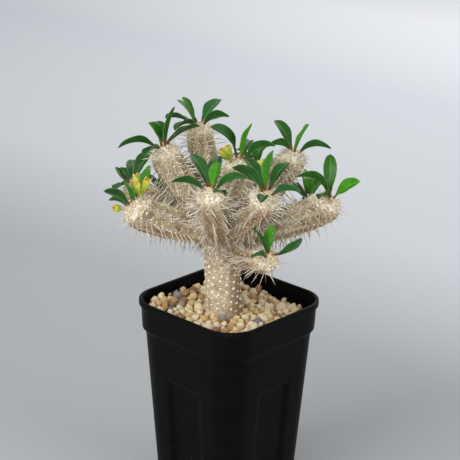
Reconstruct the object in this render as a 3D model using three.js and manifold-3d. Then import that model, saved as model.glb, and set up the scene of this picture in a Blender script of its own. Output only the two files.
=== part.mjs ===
// A spiny euphorbia in a square nursery pot. Millimetres, +Z up, origin at the centre of the pot's base.
import * as THREE from "three";
import { mergeVertices } from "three/addons/utils/BufferGeometryUtils.js";
import Module from "manifold-3d";

const wasm = await Module();
wasm.setup();

// ---------------------------------------------------------------------------
// Driving dimensions
// ---------------------------------------------------------------------------

const FIT = 0.3; // clearance wherever two pieces touch

// The pot: a rolled lip over a deep band, a shoulder, and a tapering body with a panel in each side.
const POT_HEIGHT = 150;
const RIM_WIDTH = 105;
const RIM_CORNER = 23;
const BASE_WIDTH = 78;
const BASE_CORNER = 14;
const WALL = 1.4;
const LIP_HEIGHT = 4.5;
const LIP_PROUD = 1.2;
const LIP_ROUND = 0.6;
const BAND_HEIGHT = 22;
const BAND_TAPER = 0.9;
const SHOULDER_HEIGHT = 2.5;
const SHOULDER_STEP = 1.9;
const BASE_ROUND = 1.5;
const PANEL_WIDTH = 34;
const PANEL_DEPTH = 2.2;
const PANEL_SLOPE = 5;
const PANEL_BELOW_RIM = 55;
const DRAIN_HOLE = 9;
const DRAIN_INSET = 17; // from each side of the base to the middle of a hole

// The potting mix: its level below the rim, and how its top falls away to one side.
const MIX_BELOW_RIM = 9;
const MIX_FALL = 0.055; // drop per millimetre towards the plant's right
const MIX_LUMP = 0.6;
const MIX_LUMP_PITCH = 19;

// The plant is turned in its pot. Its own heights are measured from the top of the mix.
const PLANT_TURN = 43;
const TRUNK_DIAMETER = 25.5;
const TRUNK_FOOT = [-3.5, -5];
const FORK = [-5.7, -4, 63];
const FORK_DIAMETER = 31;
const FORK_DOME = 13;
const CROWN_DEPTH = 30; // length of the root crown below the top of the mix
const CLUB_NECK = 0.86; // a club's radius where it leaves the fork, as a share of its full radius

const LEAF_THICKNESS = 0.9;
const LEAF_FOLD = 0.4; // rise of a leaf's margins per millimetre of half width
const LEAF_TWIST_LENGTH = 0.4; // share of the leaf over which it turns its face to the light
const BUD_RADIUS = 4.4; // circle on a shoot's tip that the lowest leaves spring from
const BUD_HEART = 1.6; // circle that the youngest leaves spring from

const CYATHIUM_RADIUS = 2.7;
const CYATHIUM_STALK = 0.9;

// ---------------------------------------------------------------------------
// The plant's shoots, front and rear. tip: where the leaves spring from, in the plant's own axes, +X to
// the right, +Y to the back, Z above the mix. radius: of the club. face: lift of the tip above level.
// root: how high the club leaves the fork. sag: how far its middle hangs under the straight line.
// Each leaf is [turn, lift, length, width, arch, twist]: turn is its heading in plan from +X towards +Y,
// lift its angle above level, arch the rise of its back as a share of its length, and twist the turn of
// its face.
// ---------------------------------------------------------------------------

const SHOOTS = [
  {
    name: "front_centre",
    tip: [-14, -48, 108],
    radius: 10,
    face: 66,
    root: 58,
    sag: 5,
    leaves: [
      [208, 21, 27, 8.5, 0.1, -40],
      [122, 36, 29, 8.5, 0.1, 0],
      [289, 66, 24, 7.5, 0.04, 0],
      [80, 30, 28, 8, 0.1, 0],
      [336, 27, 27, 8.5, 0.12, 45],
      [302, 8, 15, 6, 0.12, 20],
    ],
  },
  {
    name: "front_right",
    tip: [25, -42, 104],
    radius: 10.5,
    face: 54,
    root: 59,
    sag: 4,
    leaves: [
      [205, 41, 30, 8.5, 0.12, -50],
      [125, 30, 31, 8, 0.1, 0],
      [308, 77, 31, 8.5, 0.03, -10],
      [56, 28, 28, 8, 0.12, 0],
      [325, 18, 24, 8.5, 0.1, 40],
      [258, 0, 14, 7, 0.12, 0],
    ],
  },
  {
    name: "centre_top",
    tip: [6.5, 8, 112.5],
    radius: 11,
    face: 80,
    root: 58,
    sag: 0,
    leaves: [
      [205, 50, 32, 9, 0.16, 45],
      [320, 73, 28, 8, 0.06, -20],
      [335, 30, 26, 9, 0.14, 40],
      [72, 20, 20, 8, 0.12, 0],
    ],
  },
  {
    name: "left_mid",
    tip: [-49.5, 6, 121],
    radius: 10.5,
    face: 62,
    root: 59,
    sag: 5,
    leaves: [
      [208, 8, 30, 9, 0.16, -35],
      [243, -3, 20, 8.5, 0.14, -25],
      [200, 62, 20, 8, 0.08, 40],
      [325, 75, 30, 8, 0.05, -25],
      [104, 32, 22, 8, 0.1, 0],
      [24, 24, 27, 10, 0.1, 20],
    ],
  },
  {
    name: "back_left",
    tip: [-24, 34, 129.5],
    radius: 9.5,
    face: 75,
    root: 58,
    sag: 3,
    leaves: [
      [132, 32, 24, 6.5, 0.08, -15],
      [210, 61, 24, 8.5, 0.03, 30],
      [160, 6, 22, 8.5, 0.12, -25],
      [232, 3, 23, 8.5, 0.14, -25],
      [55, 28, 26, 10, 0.1, 5],
      [328, 24, 24, 9, 0.1, 40],
    ],
  },
  {
    name: "right_back",
    tip: [45.5, 30, 112],
    radius: 10,
    face: 62,
    root: 58,
    sag: 4,
    leaves: [
      [120, 34, 28, 8.5, 0.1, 0],
      [216, 17, 22, 8.5, 0.14, -40],
      [316, 62, 26, 8, 0.04, -25],
      [332, 16, 26, 8.5, 0.14, 40],
    ],
  },
  {
    name: "right",
    tip: [72.5, 2, 87],
    radius: 11,
    face: 46,
    root: 57,
    sag: 4,
    leaves: [
      [195, 33, 28, 8.5, 0.2, -45],
      [88, 56, 30, 8.5, 0.12, 0],
      [330, 39, 26, 9, 0.06, -50],
      [236, 12, 16, 8, 0.16, -30],
    ],
  },
  {
    name: "left_low",
    tip: [-71.5, -12, 83],
    radius: 12,
    face: 32,
    root: 60,
    sag: 2,
    leaves: [
      [211, 34, 24, 7.5, 0.06, -50],
      [228, 66, 18, 8.5, 0.05, 25],
      [46, 54, 28, 8.5, -0.12, 0],
      [172, 14, 13, 6, 0.14, -30],
    ],
  },
  {
    name: "left_back",
    tip: [-73.5, 27, 87],
    radius: 9.5,
    face: 45,
    root: 59,
    sag: 3,
    leaves: [
      [222, 48, 19, 7.5, -0.1, 35],
      [241, -2, 17, 8.5, 0.12, -25],
      [92, 30, 20, 9, 0.08, 0],
      [56, 38, 28, 9.5, 0.08, 0],
      [122, 16, 19, 7, 0.08, 0],
    ],
  },
  {
    name: "low_right",
    tip: [29, -38, 56],
    radius: 9,
    face: 36,
    root: 46,
    sag: 0,
    leaves: [
      [224, 57, 26, 7.5, 0.06, 20],
      [285, 72, 24, 7, 0.03, 0],
      [336, 38, 26, 7.5, -0.12, 45],
      [227, 14, 16, 7, 0.12, -35],
    ],
  },
];

// Each rear shoot ends in one small rosette whose leaves follow each other round by the golden angle.
const REAR_SHOOTS = [
  { name: "rear_centre", tip: [16, 66, 82], radius: 10, face: 60, root: 57, sag: 4, turn: 20 },
  { name: "rear_left", tip: [-22, 64, 80], radius: 10, face: 58, root: 57, sag: 4, turn: 75 },
  { name: "rear_right", tip: [56, 44, 66], radius: 9.5, face: 50, root: 54, sag: 3, turn: 140 },
  { name: "rear_low", tip: [-50, 52, 64], radius: 9, face: 40, root: 55, sag: 2, turn: 110 },
];
const REAR_LEAVES = 6;
const REAR_LEAF_LENGTH = 24;
const REAR_LEAF_WIDTH = 8;
const REAR_LIFT_FIRST = 12;
const REAR_LIFT_STEP = 10;
const REAR_BUD = 3;
const GOLDEN_ANGLE = 137.5;

// Flowers. seat: the heading and lift, from the middle of the club's rounded end, of the spot that the
// stalk springs from. Each cyathium is [turn, lift, length].
const FLOWERS = [
  {
    name: "left_low_flower_pair",
    shoot: "left_low",
    seat: [200, 80],
    cyathia: [
      [185, 80, 19],
      [345, 68, 17],
    ],
  },
  {
    name: "left_low_flower",
    shoot: "left_low",
    seat: [196, 20],
    cyathia: [[190, 2, 10]],
  },
  {
    name: "centre_top_flowers_left",
    shoot: "centre_top",
    seat: [232, 52],
    cyathia: [
      [225, 66, 16],
      [200, 48, 15],
      [212, 34, 12],
      [258, 66, 12],
    ],
  },
  {
    name: "centre_top_flowers_right",
    shoot: "centre_top",
    seat: [325, 30],
    cyathia: [
      [350, 28, 12],
      [318, 4, 10],
    ],
  },
];

// ---------------------------------------------------------------------------
// Materials
// ---------------------------------------------------------------------------

const finish = (color, roughness) => new THREE.MeshStandardMaterial({ color, roughness, metalness: 0 });
const BLACK_PLASTIC = finish("#1b1c1e", 0.55);
const GRANULES = finish("#cdb892", 0.95);
const STEM_SKIN = finish("#b3a48c", 0.9);
const LEAF_GREEN = finish("#1f6b33", 0.4);
const FLOWER_YELLOW = finish("#b8c832", 0.6);

// ---------------------------------------------------------------------------
// Solids and shared shapes
// ---------------------------------------------------------------------------

// A closed geometry as a solid that can be joined and cut.
function solidOf(geometry) {
  const bare = geometry.clone();
  bare.deleteAttribute("normal");
  bare.deleteAttribute("uv");
  const merged = mergeVertices(bare, 1e-4);
  return new wasm.Manifold(
    new wasm.Mesh({
      numProp: 3,
      vertProperties: merged.getAttribute("position").array,
      triVerts: new Uint32Array(merged.index.array),
    }),
  );
}

// A solid back as a geometry.
function geometryOf(solid) {
  const mesh = solid.getMesh();
  const geometry = new THREE.BufferGeometry();
  geometry.setAttribute("position", new THREE.BufferAttribute(mesh.vertProperties, mesh.numProp));
  geometry.setIndex(new THREE.BufferAttribute(mesh.triVerts, 1));
  geometry.computeVertexNormals();
  return geometry;
}

function namedMesh(name, geometry, material) {
  const mesh = new THREE.Mesh(geometry, material.clone());
  mesh.name = name;
  return mesh;
}

// A solid of revolution about +Z from an outline of [radius, height] that starts and ends on the axis.
function turned(outline, sides) {
  const points = outline.map(([radius, height]) => new THREE.Vector2(radius, height));
  return new THREE.LatheGeometry(points, sides).rotateX(Math.PI / 2);
}

// Moves every vertex of a geometry to move(vertex).
function reshape(geometry, move) {
  const position = geometry.getAttribute("position");
  const vertex = new THREE.Vector3();
  for (let i = 0; i < position.count; i++) {
    vertex.fromBufferAttribute(position, i);
    const moved = move(vertex);
    position.setXYZ(i, moved.x, moved.y, moved.z);
  }
  return geometry;
}

// The unit direction at a heading in plan and a lift above level, both in degrees.
function heading(turn, lift) {
  const t = THREE.MathUtils.degToRad(turn);
  const l = THREE.MathUtils.degToRad(lift);
  return new THREE.Vector3(Math.cos(l) * Math.cos(t), Math.cos(l) * Math.sin(t), Math.sin(l));
}

// A round limb along a curve that lies in a plane. The outline is [radius, share of the curve] and
// across is the unit vector square to that plane.
function limb(curve, outline, across, sides) {
  const points = outline.map(([radius, share]) => new THREE.Vector2(radius, share));
  return reshape(new THREE.LatheGeometry(points, sides), ({ x, y, z }) => {
    const out = new THREE.Vector3().crossVectors(across, curve.getTangent(y));
    return curve.getPoint(y).addScaledVector(across, x).addScaledVector(out, z);
  });
}

// ---------------------------------------------------------------------------
// Pot
// ---------------------------------------------------------------------------

const CORNER_STEPS = 5; // facets round each corner
const QUARTER = CORNER_STEPS + 2; // and half a flat side on each side of it

// Turns a solid of revolution into one whose plan is a rounded square, inset by an even amount.
function squared(geometry, inset) {
  return reshape(geometry, ({ x, y, z }) => {
    const half = Math.hypot(x, y);
    const rise = THREE.MathUtils.clamp(z / POT_HEIGHT, 0, 1);
    const fullCorner = THREE.MathUtils.lerp(BASE_CORNER, RIM_CORNER, rise) - inset;
    const corner = Math.min(fullCorner, half);
    const step = Math.round((Math.atan2(y, x) / (2 * Math.PI)) * 4 * QUARTER + 4 * QUARTER) % (4 * QUARTER);
    const inQuarter = step % QUARTER;
    const arc = (((inQuarter - 1) / CORNER_STEPS) * Math.PI) / 2;
    const local =
      inQuarter === 0
        ? new THREE.Vector3(half, 0, z)
        : new THREE.Vector3(
            half - corner + corner * Math.cos(arc),
            half - corner + corner * Math.sin(arc),
            z,
          );
    return local.applyAxisAngle(new THREE.Vector3(0, 0, 1), (Math.floor(step / QUARTER) * Math.PI) / 2);
  });
}

const lipHalf = RIM_WIDTH / 2;
const bandTopHalf = lipHalf - LIP_PROUD;
const bandFootHalf = bandTopHalf - BAND_TAPER;
const bodyTopHalf = bandFootHalf - SHOULDER_STEP;
const baseHalf = BASE_WIDTH / 2;
const lipFoot = POT_HEIGHT - LIP_HEIGHT;
const shoulderTop = POT_HEIGHT - BAND_HEIGHT;
const shoulderFoot = shoulderTop - SHOULDER_HEIGHT;
const bodySlope = (bodyTopHalf - baseHalf) / shoulderFoot;

// Heights and half widths of the pot's inside, drawn in by inset, from the floor to the given top.
function insideOutline(inset, floor, top) {
  const bandSlope = (bandTopHalf - bandFootHalf) / (lipFoot - shoulderTop);
  return [
    [0, floor],
    [baseHalf + bodySlope * floor - inset, floor],
    [bodyTopHalf - inset, shoulderFoot],
    [bandFootHalf - inset, shoulderTop],
    [bandFootHalf + bandSlope * (top - shoulderTop) - inset, top],
  ];
}

// The solid that presses the panels into the pot's sides, grown by extra on its inner faces.
function panelCutters(extra) {
  const outside = 4;
  const below = 5;
  const height = POT_HEIGHT - PANEL_BELOW_RIM + below + extra;
  const depth = PANEL_DEPTH + extra + outside;
  const innerHalf = PANEL_WIDTH / 2 - PANEL_SLOPE + extra;
  const outerHalf = innerHalf + (PANEL_SLOPE * depth) / PANEL_DEPTH;
  const topSlope = (PANEL_SLOPE * depth) / PANEL_DEPTH;
  const wedge = reshape(new THREE.BoxGeometry(2, depth, height), ({ x, y, z }) => {
    const inner = y > 0;
    const top = z > 0;
    return new THREE.Vector3(
      Math.sign(x) * (inner ? innerHalf : outerHalf),
      y + PANEL_DEPTH + extra - depth / 2,
      top ? height - below - (inner ? topSlope : 0) + topSlope * (outside / depth) : -below,
    );
  });
  wedge.rotateX(Math.atan(bodySlope));
  wedge.translate(0, -baseHalf, 0);
  const cutters = [0, 1, 2, 3].map((side) => solidOf(wedge.clone().rotateZ((side * Math.PI) / 2)));
  return cutters.reduce((all, cutter) => all.add(cutter));
}

function potGeometry() {
  const outline = [
    [0, 0],
    [baseHalf - BASE_ROUND, 0],
    [baseHalf + bodySlope * BASE_ROUND, BASE_ROUND],
    [bodyTopHalf, shoulderFoot],
    [bandFootHalf, shoulderTop],
    [bandTopHalf, lipFoot],
    [lipHalf, lipFoot + LIP_ROUND],
    [lipHalf, POT_HEIGHT - LIP_ROUND],
    [lipHalf - LIP_ROUND, POT_HEIGHT],
    [0, POT_HEIGHT],
  ];
  const outside = solidOf(squared(turned(outline, 4 * QUARTER), 0)).subtract(panelCutters(0));
  const overRim = POT_HEIGHT + 1;
  const cavityOutline = [...insideOutline(WALL, WALL, overRim), [0, overRim]];
  const cavity = solidOf(squared(turned(cavityOutline, 4 * QUARTER), WALL)).subtract(panelCutters(WALL));
  const hole = turned([[0, -1], [DRAIN_HOLE / 2, -1], [DRAIN_HOLE / 2, WALL + 1], [0, WALL + 1]], 12);
  const offset = baseHalf - DRAIN_INSET;
  const holes = [0, 1, 2, 3].map((corner) =>
    solidOf(hole.clone().translate(offset, offset, 0).rotateZ((corner * Math.PI) / 2)),
  );
  return geometryOf(holes.reduce((pot, cutter) => pot.subtract(cutter), outside.subtract(cavity)));
}

// ---------------------------------------------------------------------------
// Stem: the root crown, the trunk, the fork and every club are one solid.
// ---------------------------------------------------------------------------

const mixLevel = POT_HEIGHT - MIX_BELOW_RIM;
const forkPoint = new THREE.Vector3(...FORK);
const LEVEL_ACROSS = new THREE.Vector3(0, 1, 0);

// Root crown, trunk and swollen fork, grown by an even amount.
function trunkSolid(grown) {
  const foot = new THREE.Vector3(...TRUNK_FOOT, -CROWN_DEPTH - grown);
  const head = forkPoint.clone().setZ(FORK[2] + FORK_DOME + grown);
  const length = head.z - foot.z;
  const share = (height) => (height - foot.z) / length;
  const trunk = TRUNK_DIAMETER / 2;
  const fork = FORK_DIAMETER / 2;
  const skin = [
    [trunk * 0.35, -CROWN_DEPTH * 0.97],
    [trunk * 0.66, -CROWN_DEPTH * 0.72],
    [trunk * 0.9, -CROWN_DEPTH * 0.36],
    [trunk, 0],
    [trunk * 0.98, FORK[2] * 0.35],
    [trunk, FORK[2] * 0.66],
    [fork * 0.9, FORK[2] * 0.86],
    [fork, FORK[2]],
    [fork * 0.8, FORK[2] + FORK_DOME * 0.6],
  ];
  const outline = [[0, 0], ...skin.map(([radius, height]) => [radius + grown, share(height)]), [0, 1]];
  return solidOf(limb(new THREE.LineCurve3(foot, head), outline, LEVEL_ACROSS, 16));
}

// The middle of a shoot's rounded end, the way its tip faces, and the plane that it grows in.
function shootFrame(shoot) {
  const tip = new THREE.Vector3(...shoot.tip);
  const reach = tip.clone().sub(forkPoint).setZ(0).normalize();
  const facing = reach.clone().multiplyScalar(Math.cos(THREE.MathUtils.degToRad(shoot.face)));
  facing.z = Math.sin(THREE.MathUtils.degToRad(shoot.face));
  const middle = tip.clone().addScaledVector(facing, -shoot.radius);
  const across = new THREE.Vector3(reach.y, -reach.x, 0);
  return { facing, middle, across };
}

// A club: it leaves the fork a little slimmer and ends in a half ball.
function clubSolid(shoot) {
  const { middle, across } = shootFrame(shoot);
  const root = forkPoint.clone().setZ(shoot.root);
  const way = middle.clone().sub(root).normalize();
  const end = middle.clone().addScaledVector(way, shoot.radius);
  const bend = root.clone().lerp(end, 0.5);
  bend.z -= 2 * shoot.sag;
  const curve = new THREE.QuadraticBezierCurve3(root, bend, end);
  const dome = shoot.radius / curve.getLength();
  const outline = [
    [0, 0],
    [shoot.radius * CLUB_NECK, 0.02],
    [shoot.radius * CLUB_NECK, 0.3],
    [shoot.radius * 0.97, 0.55],
  ];
  for (const degrees of [0, 30, 60, 80]) {
    const angle = THREE.MathUtils.degToRad(degrees);
    outline.push([shoot.radius * Math.cos(angle), 1 - dome * (1 - Math.sin(angle))]);
  }
  outline.push([0, 1]);
  return solidOf(limb(curve, outline, across, 10));
}

function stemGeometry() {
  const clubs = [...SHOOTS, ...REAR_SHOOTS].map(clubSolid);
  return geometryOf(clubs.reduce((stem, club) => stem.add(club), trunkSolid(0)));
}

const stemShape = stemGeometry();
const stemSkin = new THREE.Mesh(stemShape, new THREE.MeshBasicMaterial({ side: THREE.BackSide }));

// The spot just clear of the stem's skin, straight out from a point inside a club.
function seatOnStem(inside, way) {
  const [hit] = new THREE.Raycaster(inside, way).intersectObject(stemSkin);
  return hit.point.addScaledVector(way, FIT);
}

// ---------------------------------------------------------------------------
// Potting mix: fills the pot to its level, round the root crown.
// ---------------------------------------------------------------------------

function mixGeometry() {
  const fringe = insideOutline(WALL + FIT, WALL + FIT, mixLevel);
  const half = fringe[fringe.length - 1][0];
  const top = [0.85, 0.65, 0.45, 0.25, 0].map((share) => [half * share, mixLevel]);
  const block = squared(turned([...fringe, ...top], 4 * QUARTER), WALL + FIT);
  const turn = THREE.MathUtils.degToRad(PLANT_TURN);
  reshape(block, ({ x, y, z }) => {
    if (z < mixLevel - FIT) return new THREE.Vector3(x, y, z);
    const toRight = x * Math.cos(turn) + y * Math.sin(turn);
    const lumps = Math.sin((2 * Math.PI * x) / MIX_LUMP_PITCH) * Math.cos((2 * Math.PI * y) / MIX_LUMP_PITCH);
    return new THREE.Vector3(x, y, z - MIX_FALL * toRight + MIX_LUMP * lumps);
  });
  const socket = geometryOf(trunkSolid(FIT)).rotateZ(turn).translate(0, 0, mixLevel);
  return geometryOf(solidOf(block).subtract(panelCutters(WALL + FIT)).subtract(solidOf(socket)));
}

// ---------------------------------------------------------------------------
// Leaves
// ---------------------------------------------------------------------------

// Half widths of a blade along its length, as [share of half width, share of length].
const BLADE = [
  [0, 0],
  [0.28, 0.04],
  [0.42, 0.16],
  [0.8, 0.36],
  [1, 0.56],
  [0.86, 0.76],
  [0.44, 0.92],
  [0, 1],
];

// A blade folded along its midrib, that arches over and turns its face, from start.
function leafGeometry(start, [turn, lift, length, width, arch, twist]) {
  const way = heading(turn, lift);
  const level = heading(turn + 90, 0);
  const above = new THREE.Vector3().crossVectors(way, level);
  const end = start.clone().addScaledVector(way, length);
  const bend = start.clone().lerp(end, 0.5).addScaledVector(above, 2 * arch * length);
  const curve = new THREE.QuadraticBezierCurve3(start, bend, end);
  const outline = BLADE.map(([wide, share]) => new THREE.Vector2((wide * width) / 2, share));
  return reshape(new THREE.LatheGeometry(outline, 4), ({ x, y, z }) => {
    const along = curve.getTangent(y);
    const angle = THREE.MathUtils.degToRad(twist) * THREE.MathUtils.smoothstep(y, 0, LEAF_TWIST_LENGTH);
    const side = level.clone().applyAxisAngle(along, -angle);
    const face = new THREE.Vector3().crossVectors(along, side);
    const margin = Math.abs(x) > Math.abs(z);
    const spread = margin ? x : 0;
    const rise = margin ? Math.abs(x) * LEAF_FOLD : (Math.sign(z) * LEAF_THICKNESS) / 2;
    const onPole = y === 0 || y === 1;
    const point = curve.getPoint(y);
    return onPole ? point : point.addScaledVector(side, -spread).addScaledVector(face, rise);
  });
}

// The spot on a shoot's rounded end that a leaf springs from: the more a leaf leans away from the
// shoot's own direction, the further out it sits.
function leafSeat(shoot, way) {
  const { facing, middle } = shootFrame(shoot);
  const outward = way.clone().addScaledVector(facing, -way.dot(facing));
  const lean = Math.min(outward.length(), 1);
  const ring = BUD_HEART + (BUD_RADIUS - BUD_HEART) * lean;
  const angle = Math.asin(ring / shoot.radius);
  const seatWay = facing.clone().multiplyScalar(Math.cos(angle));
  seatWay.addScaledVector(outward.normalize(), Math.sin(angle));
  return seatOnStem(middle, seatWay);
}

function leafMeshes(shoot) {
  return shoot.leaves.map((leaf, i) => {
    const geometry = leafGeometry(leafSeat(shoot, heading(leaf[0], leaf[1])), leaf);
    return namedMesh(`leaf_${shoot.name}_${i + 1}`, geometry, LEAF_GREEN);
  });
}

// A rear rosette: its leaves and the bud that they spring from, as one solid.
function rearRosetteMesh(shoot) {
  const { facing, middle } = shootFrame(shoot);
  const seat = seatOnStem(middle, facing);
  const heart = seat.clone().addScaledVector(facing, REAR_BUD);
  const ball = new THREE.SphereGeometry(REAR_BUD, 8, 6).translate(heart.x, heart.y, heart.z);
  let rosette = solidOf(ball);
  for (let i = 0; i < REAR_LEAVES; i++) {
    const lift = REAR_LIFT_FIRST + REAR_LIFT_STEP * i;
    const leaf = [shoot.turn + GOLDEN_ANGLE * i, lift, REAR_LEAF_LENGTH, REAR_LEAF_WIDTH, 0.12, 0];
    rosette = rosette.add(solidOf(leafGeometry(heart, leaf)));
  }
  return namedMesh(`rosette_${shoot.name}`, geometryOf(rosette), LEAF_GREEN);
}

// ---------------------------------------------------------------------------
// Flowers: cyathia on short stalks that spring from one spot.
// ---------------------------------------------------------------------------

// A cyathium's outline: a stalk, an urn, and lips that flare a little.
const CYATHIUM = [
  [0, 0],
  [CYATHIUM_STALK, 0.03],
  [CYATHIUM_STALK, 0.4],
  [CYATHIUM_RADIUS * 0.9, 0.56],
  [CYATHIUM_RADIUS, 0.7],
  [CYATHIUM_RADIUS * 0.7, 0.86],
  [CYATHIUM_RADIUS * 0.8, 0.95],
  [0, 1],
];

function flowerMesh(cluster) {
  const shoot = SHOOTS.find(({ name }) => name === cluster.shoot);
  const { middle } = shootFrame(shoot);
  const seat = seatOnStem(middle, heading(...cluster.seat));
  const cyathia = cluster.cyathia.map(([turn, lift, length]) => {
    const end = seat.clone().addScaledVector(heading(turn, lift), length);
    return solidOf(limb(new THREE.LineCurve3(seat, end), CYATHIUM, heading(turn + 90, 0), 7));
  });
  const flower = cyathia.reduce((all, cyathium) => all.add(cyathium));
  return namedMesh(cluster.name, geometryOf(flower), FLOWER_YELLOW);
}

// ---------------------------------------------------------------------------
// The whole object
// ---------------------------------------------------------------------------

const group = new THREE.Group();
group.add(namedMesh("pot", potGeometry(), BLACK_PLASTIC));
group.add(namedMesh("potting_mix", mixGeometry(), GRANULES));

const plant = new THREE.Group();
plant.position.z = mixLevel;
plant.rotation.z = THREE.MathUtils.degToRad(PLANT_TURN);
plant.add(namedMesh("stem", stemShape, STEM_SKIN));
for (const shoot of SHOOTS) {
  plant.add(...leafMeshes(shoot));
}
for (const shoot of REAR_SHOOTS) {
  plant.add(rearRosetteMesh(shoot));
}
for (const cluster of FLOWERS) {
  plant.add(flowerMesh(cluster));
}
group.add(plant);

export default group;
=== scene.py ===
import math
import random

import bmesh
import bpy
import numpy as np
from mathutils import Euler, Matrix, Vector, noise
from mathutils.bvhtree import BVHTree


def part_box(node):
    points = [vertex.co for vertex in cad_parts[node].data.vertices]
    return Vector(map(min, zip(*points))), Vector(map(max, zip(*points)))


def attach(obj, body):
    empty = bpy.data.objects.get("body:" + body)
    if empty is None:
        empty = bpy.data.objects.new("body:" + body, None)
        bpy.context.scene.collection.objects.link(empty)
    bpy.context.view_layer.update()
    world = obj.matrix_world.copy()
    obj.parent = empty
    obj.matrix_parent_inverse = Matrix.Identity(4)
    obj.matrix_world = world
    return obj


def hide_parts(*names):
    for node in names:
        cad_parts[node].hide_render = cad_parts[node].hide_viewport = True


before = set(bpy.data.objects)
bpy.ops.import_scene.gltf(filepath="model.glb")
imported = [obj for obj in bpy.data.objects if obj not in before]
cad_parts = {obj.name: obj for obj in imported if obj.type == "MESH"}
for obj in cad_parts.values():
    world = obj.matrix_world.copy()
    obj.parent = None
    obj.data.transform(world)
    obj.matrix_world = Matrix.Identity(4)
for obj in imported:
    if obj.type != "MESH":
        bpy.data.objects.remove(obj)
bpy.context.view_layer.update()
scene = bpy.context.scene

# ---------------------------------------------------------------------------
# Camera
# A long lens a little over a metre away, looking down on the corner of the pot
# that points at it, and rolled by a degree.
# ---------------------------------------------------------------------------

CAMERA_TURN = math.radians(43.08)
CAMERA_LIFT = math.radians(20.25)
CAMERA_ROLL = math.radians(1.08)
CAMERA_AWAY = 1.1506
AIM_RIGHT = 0.0007
AIM_UP = 0.0485
LENS = 125.2


def placed(name, data):
    """A new object in the scene that holds the given data."""
    made = bpy.data.objects.new(name, data)
    scene.collection.objects.link(made)
    return made


pot_low, pot_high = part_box("pot")
rim_centre = Vector(((pot_low.x + pot_high.x) / 2, (pot_low.y + pot_high.y) / 2, pot_high.z))
level_right = Vector((math.cos(CAMERA_TURN), math.sin(CAMERA_TURN), 0))
level_back = Vector((math.sin(CAMERA_TURN), -math.cos(CAMERA_TURN), 0))
back = level_back * math.cos(CAMERA_LIFT) + Vector((0, 0, math.sin(CAMERA_LIFT)))
level_up = back.cross(level_right)
camera_right = level_right * math.cos(CAMERA_ROLL) + level_up * math.sin(CAMERA_ROLL)
camera_up = level_up * math.cos(CAMERA_ROLL) - level_right * math.sin(CAMERA_ROLL)

camera_data = bpy.data.cameras.new("camera")
camera_data.sensor_width = 36
camera_data.lens = LENS
camera = placed("camera", camera_data)
camera.matrix_world = Matrix((camera_right, camera_up, back)).transposed().to_4x4()
camera.location = rim_centre + back * CAMERA_AWAY + camera_right * AIM_RIGHT + camera_up * AIM_UP
scene.camera = camera

# ---------------------------------------------------------------------------
# Pot
# A deep square nursery pot, injection moulded in black polypropylene: a rolled
# lip over a band, a shoulder where pots nest, and a pressed panel in each side.
# ---------------------------------------------------------------------------

MM = 0.001
PER_MM = 1 / MM
WALL = 1.4 * MM
LIP_HEIGHT = 4.5 * MM
LIP_PROUD = 1.2 * MM
LIP_ROUND = 0.6 * MM
BAND_HEIGHT = 22 * MM
BAND_TAPER = 0.9 * MM
SHOULDER_HEIGHT = 2.5 * MM
SHOULDER_STEP = 1.9 * MM
BASE_WIDTH = 78 * MM
BASE_ROUND = 1.5 * MM
RIM_CORNER = 23 * MM
BASE_CORNER = 14 * MM
PANEL_WIDTH = 34 * MM
PANEL_DEPTH = 2.2 * MM
PANEL_SLOPE = 5 * MM
PANEL_BELOW_RIM = 55 * MM
DRAIN_HOLE = 9 * MM
DRAIN_INSET = 17 * MM


def linear(colour):
    """An sRGB hex colour as linear RGBA."""
    parts = [int(colour[i : i + 2], 16) / 255 for i in (1, 3, 5)]
    return [p / 12.92 if p <= 0.04045 else ((p + 0.055) / 1.055) ** 2.4 for p in parts] + [1]


def feed(node, inputs):
    """Sets inputs of a node, each to a value, a socket, or the first output of another node."""
    for key, value in inputs.items():
        if isinstance(value, bpy.types.Node):
            value = value.outputs[0]
        if isinstance(value, bpy.types.NodeSocket):
            node.id_data.links.new(value, node.inputs[key])
        else:
            node.inputs[key].default_value = value


def add(tree, kind, inputs=None, stops=(), **settings):
    """One node with its settings and links. Stops are a ramp's: hex colours or grey levels."""
    node = tree.nodes.new(kind)
    for key, value in settings.items():
        setattr(node, key, value)
    if stops:
        while len(node.color_ramp.elements) < len(stops):
            node.color_ramp.elements.new(1)
        for element, (position, colour) in zip(node.color_ramp.elements, stops):
            element.position = position
            element.color = linear(colour) if isinstance(colour, str) else [colour] * 3 + [1]
    feed(node, inputs or {})
    return node


def mixed(tree, share, first, second, most=1.0, kind="MIX"):
    """The second colour laid over the first, by a share of at most the given amount."""
    amount = add(tree, "ShaderNodeMath", {0: share, 1: most}, operation="MULTIPLY")
    inputs = {0: amount, 6: first, 7: second}
    return add(tree, "ShaderNodeMix", inputs, data_type="RGBA", blend_type=kind).outputs[2]


def material_tree(name):
    """A new material, its node tree and its surface shader."""
    material = bpy.data.materials.new(name)
    material.use_nodes = True
    return material, material.node_tree, material.node_tree.nodes["Principled BSDF"]


def mesh_of(bm, name):
    """The mesh of a finished bmesh."""
    mesh = bpy.data.meshes.new(name)
    bm.to_mesh(mesh)
    bm.free()
    return mesh


def finished(name, mesh, nodes, material):
    """A finished mesh as a piece of the object: smooth, riding on the root, standing for nodes."""
    mesh.name = name
    mesh.materials.clear()
    mesh.materials.append(material)
    mesh.shade_smooth()
    piece = placed(name, mesh)
    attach(piece, "root")
    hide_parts(*nodes)
    return piece


def lerp(a, b, share):
    return a + (b - a) * share


def smooth_step(low, high, value):
    share = np.clip((value - low) / (high - low), 0, 1)
    return share * share * (3 - 2 * share)


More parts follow.
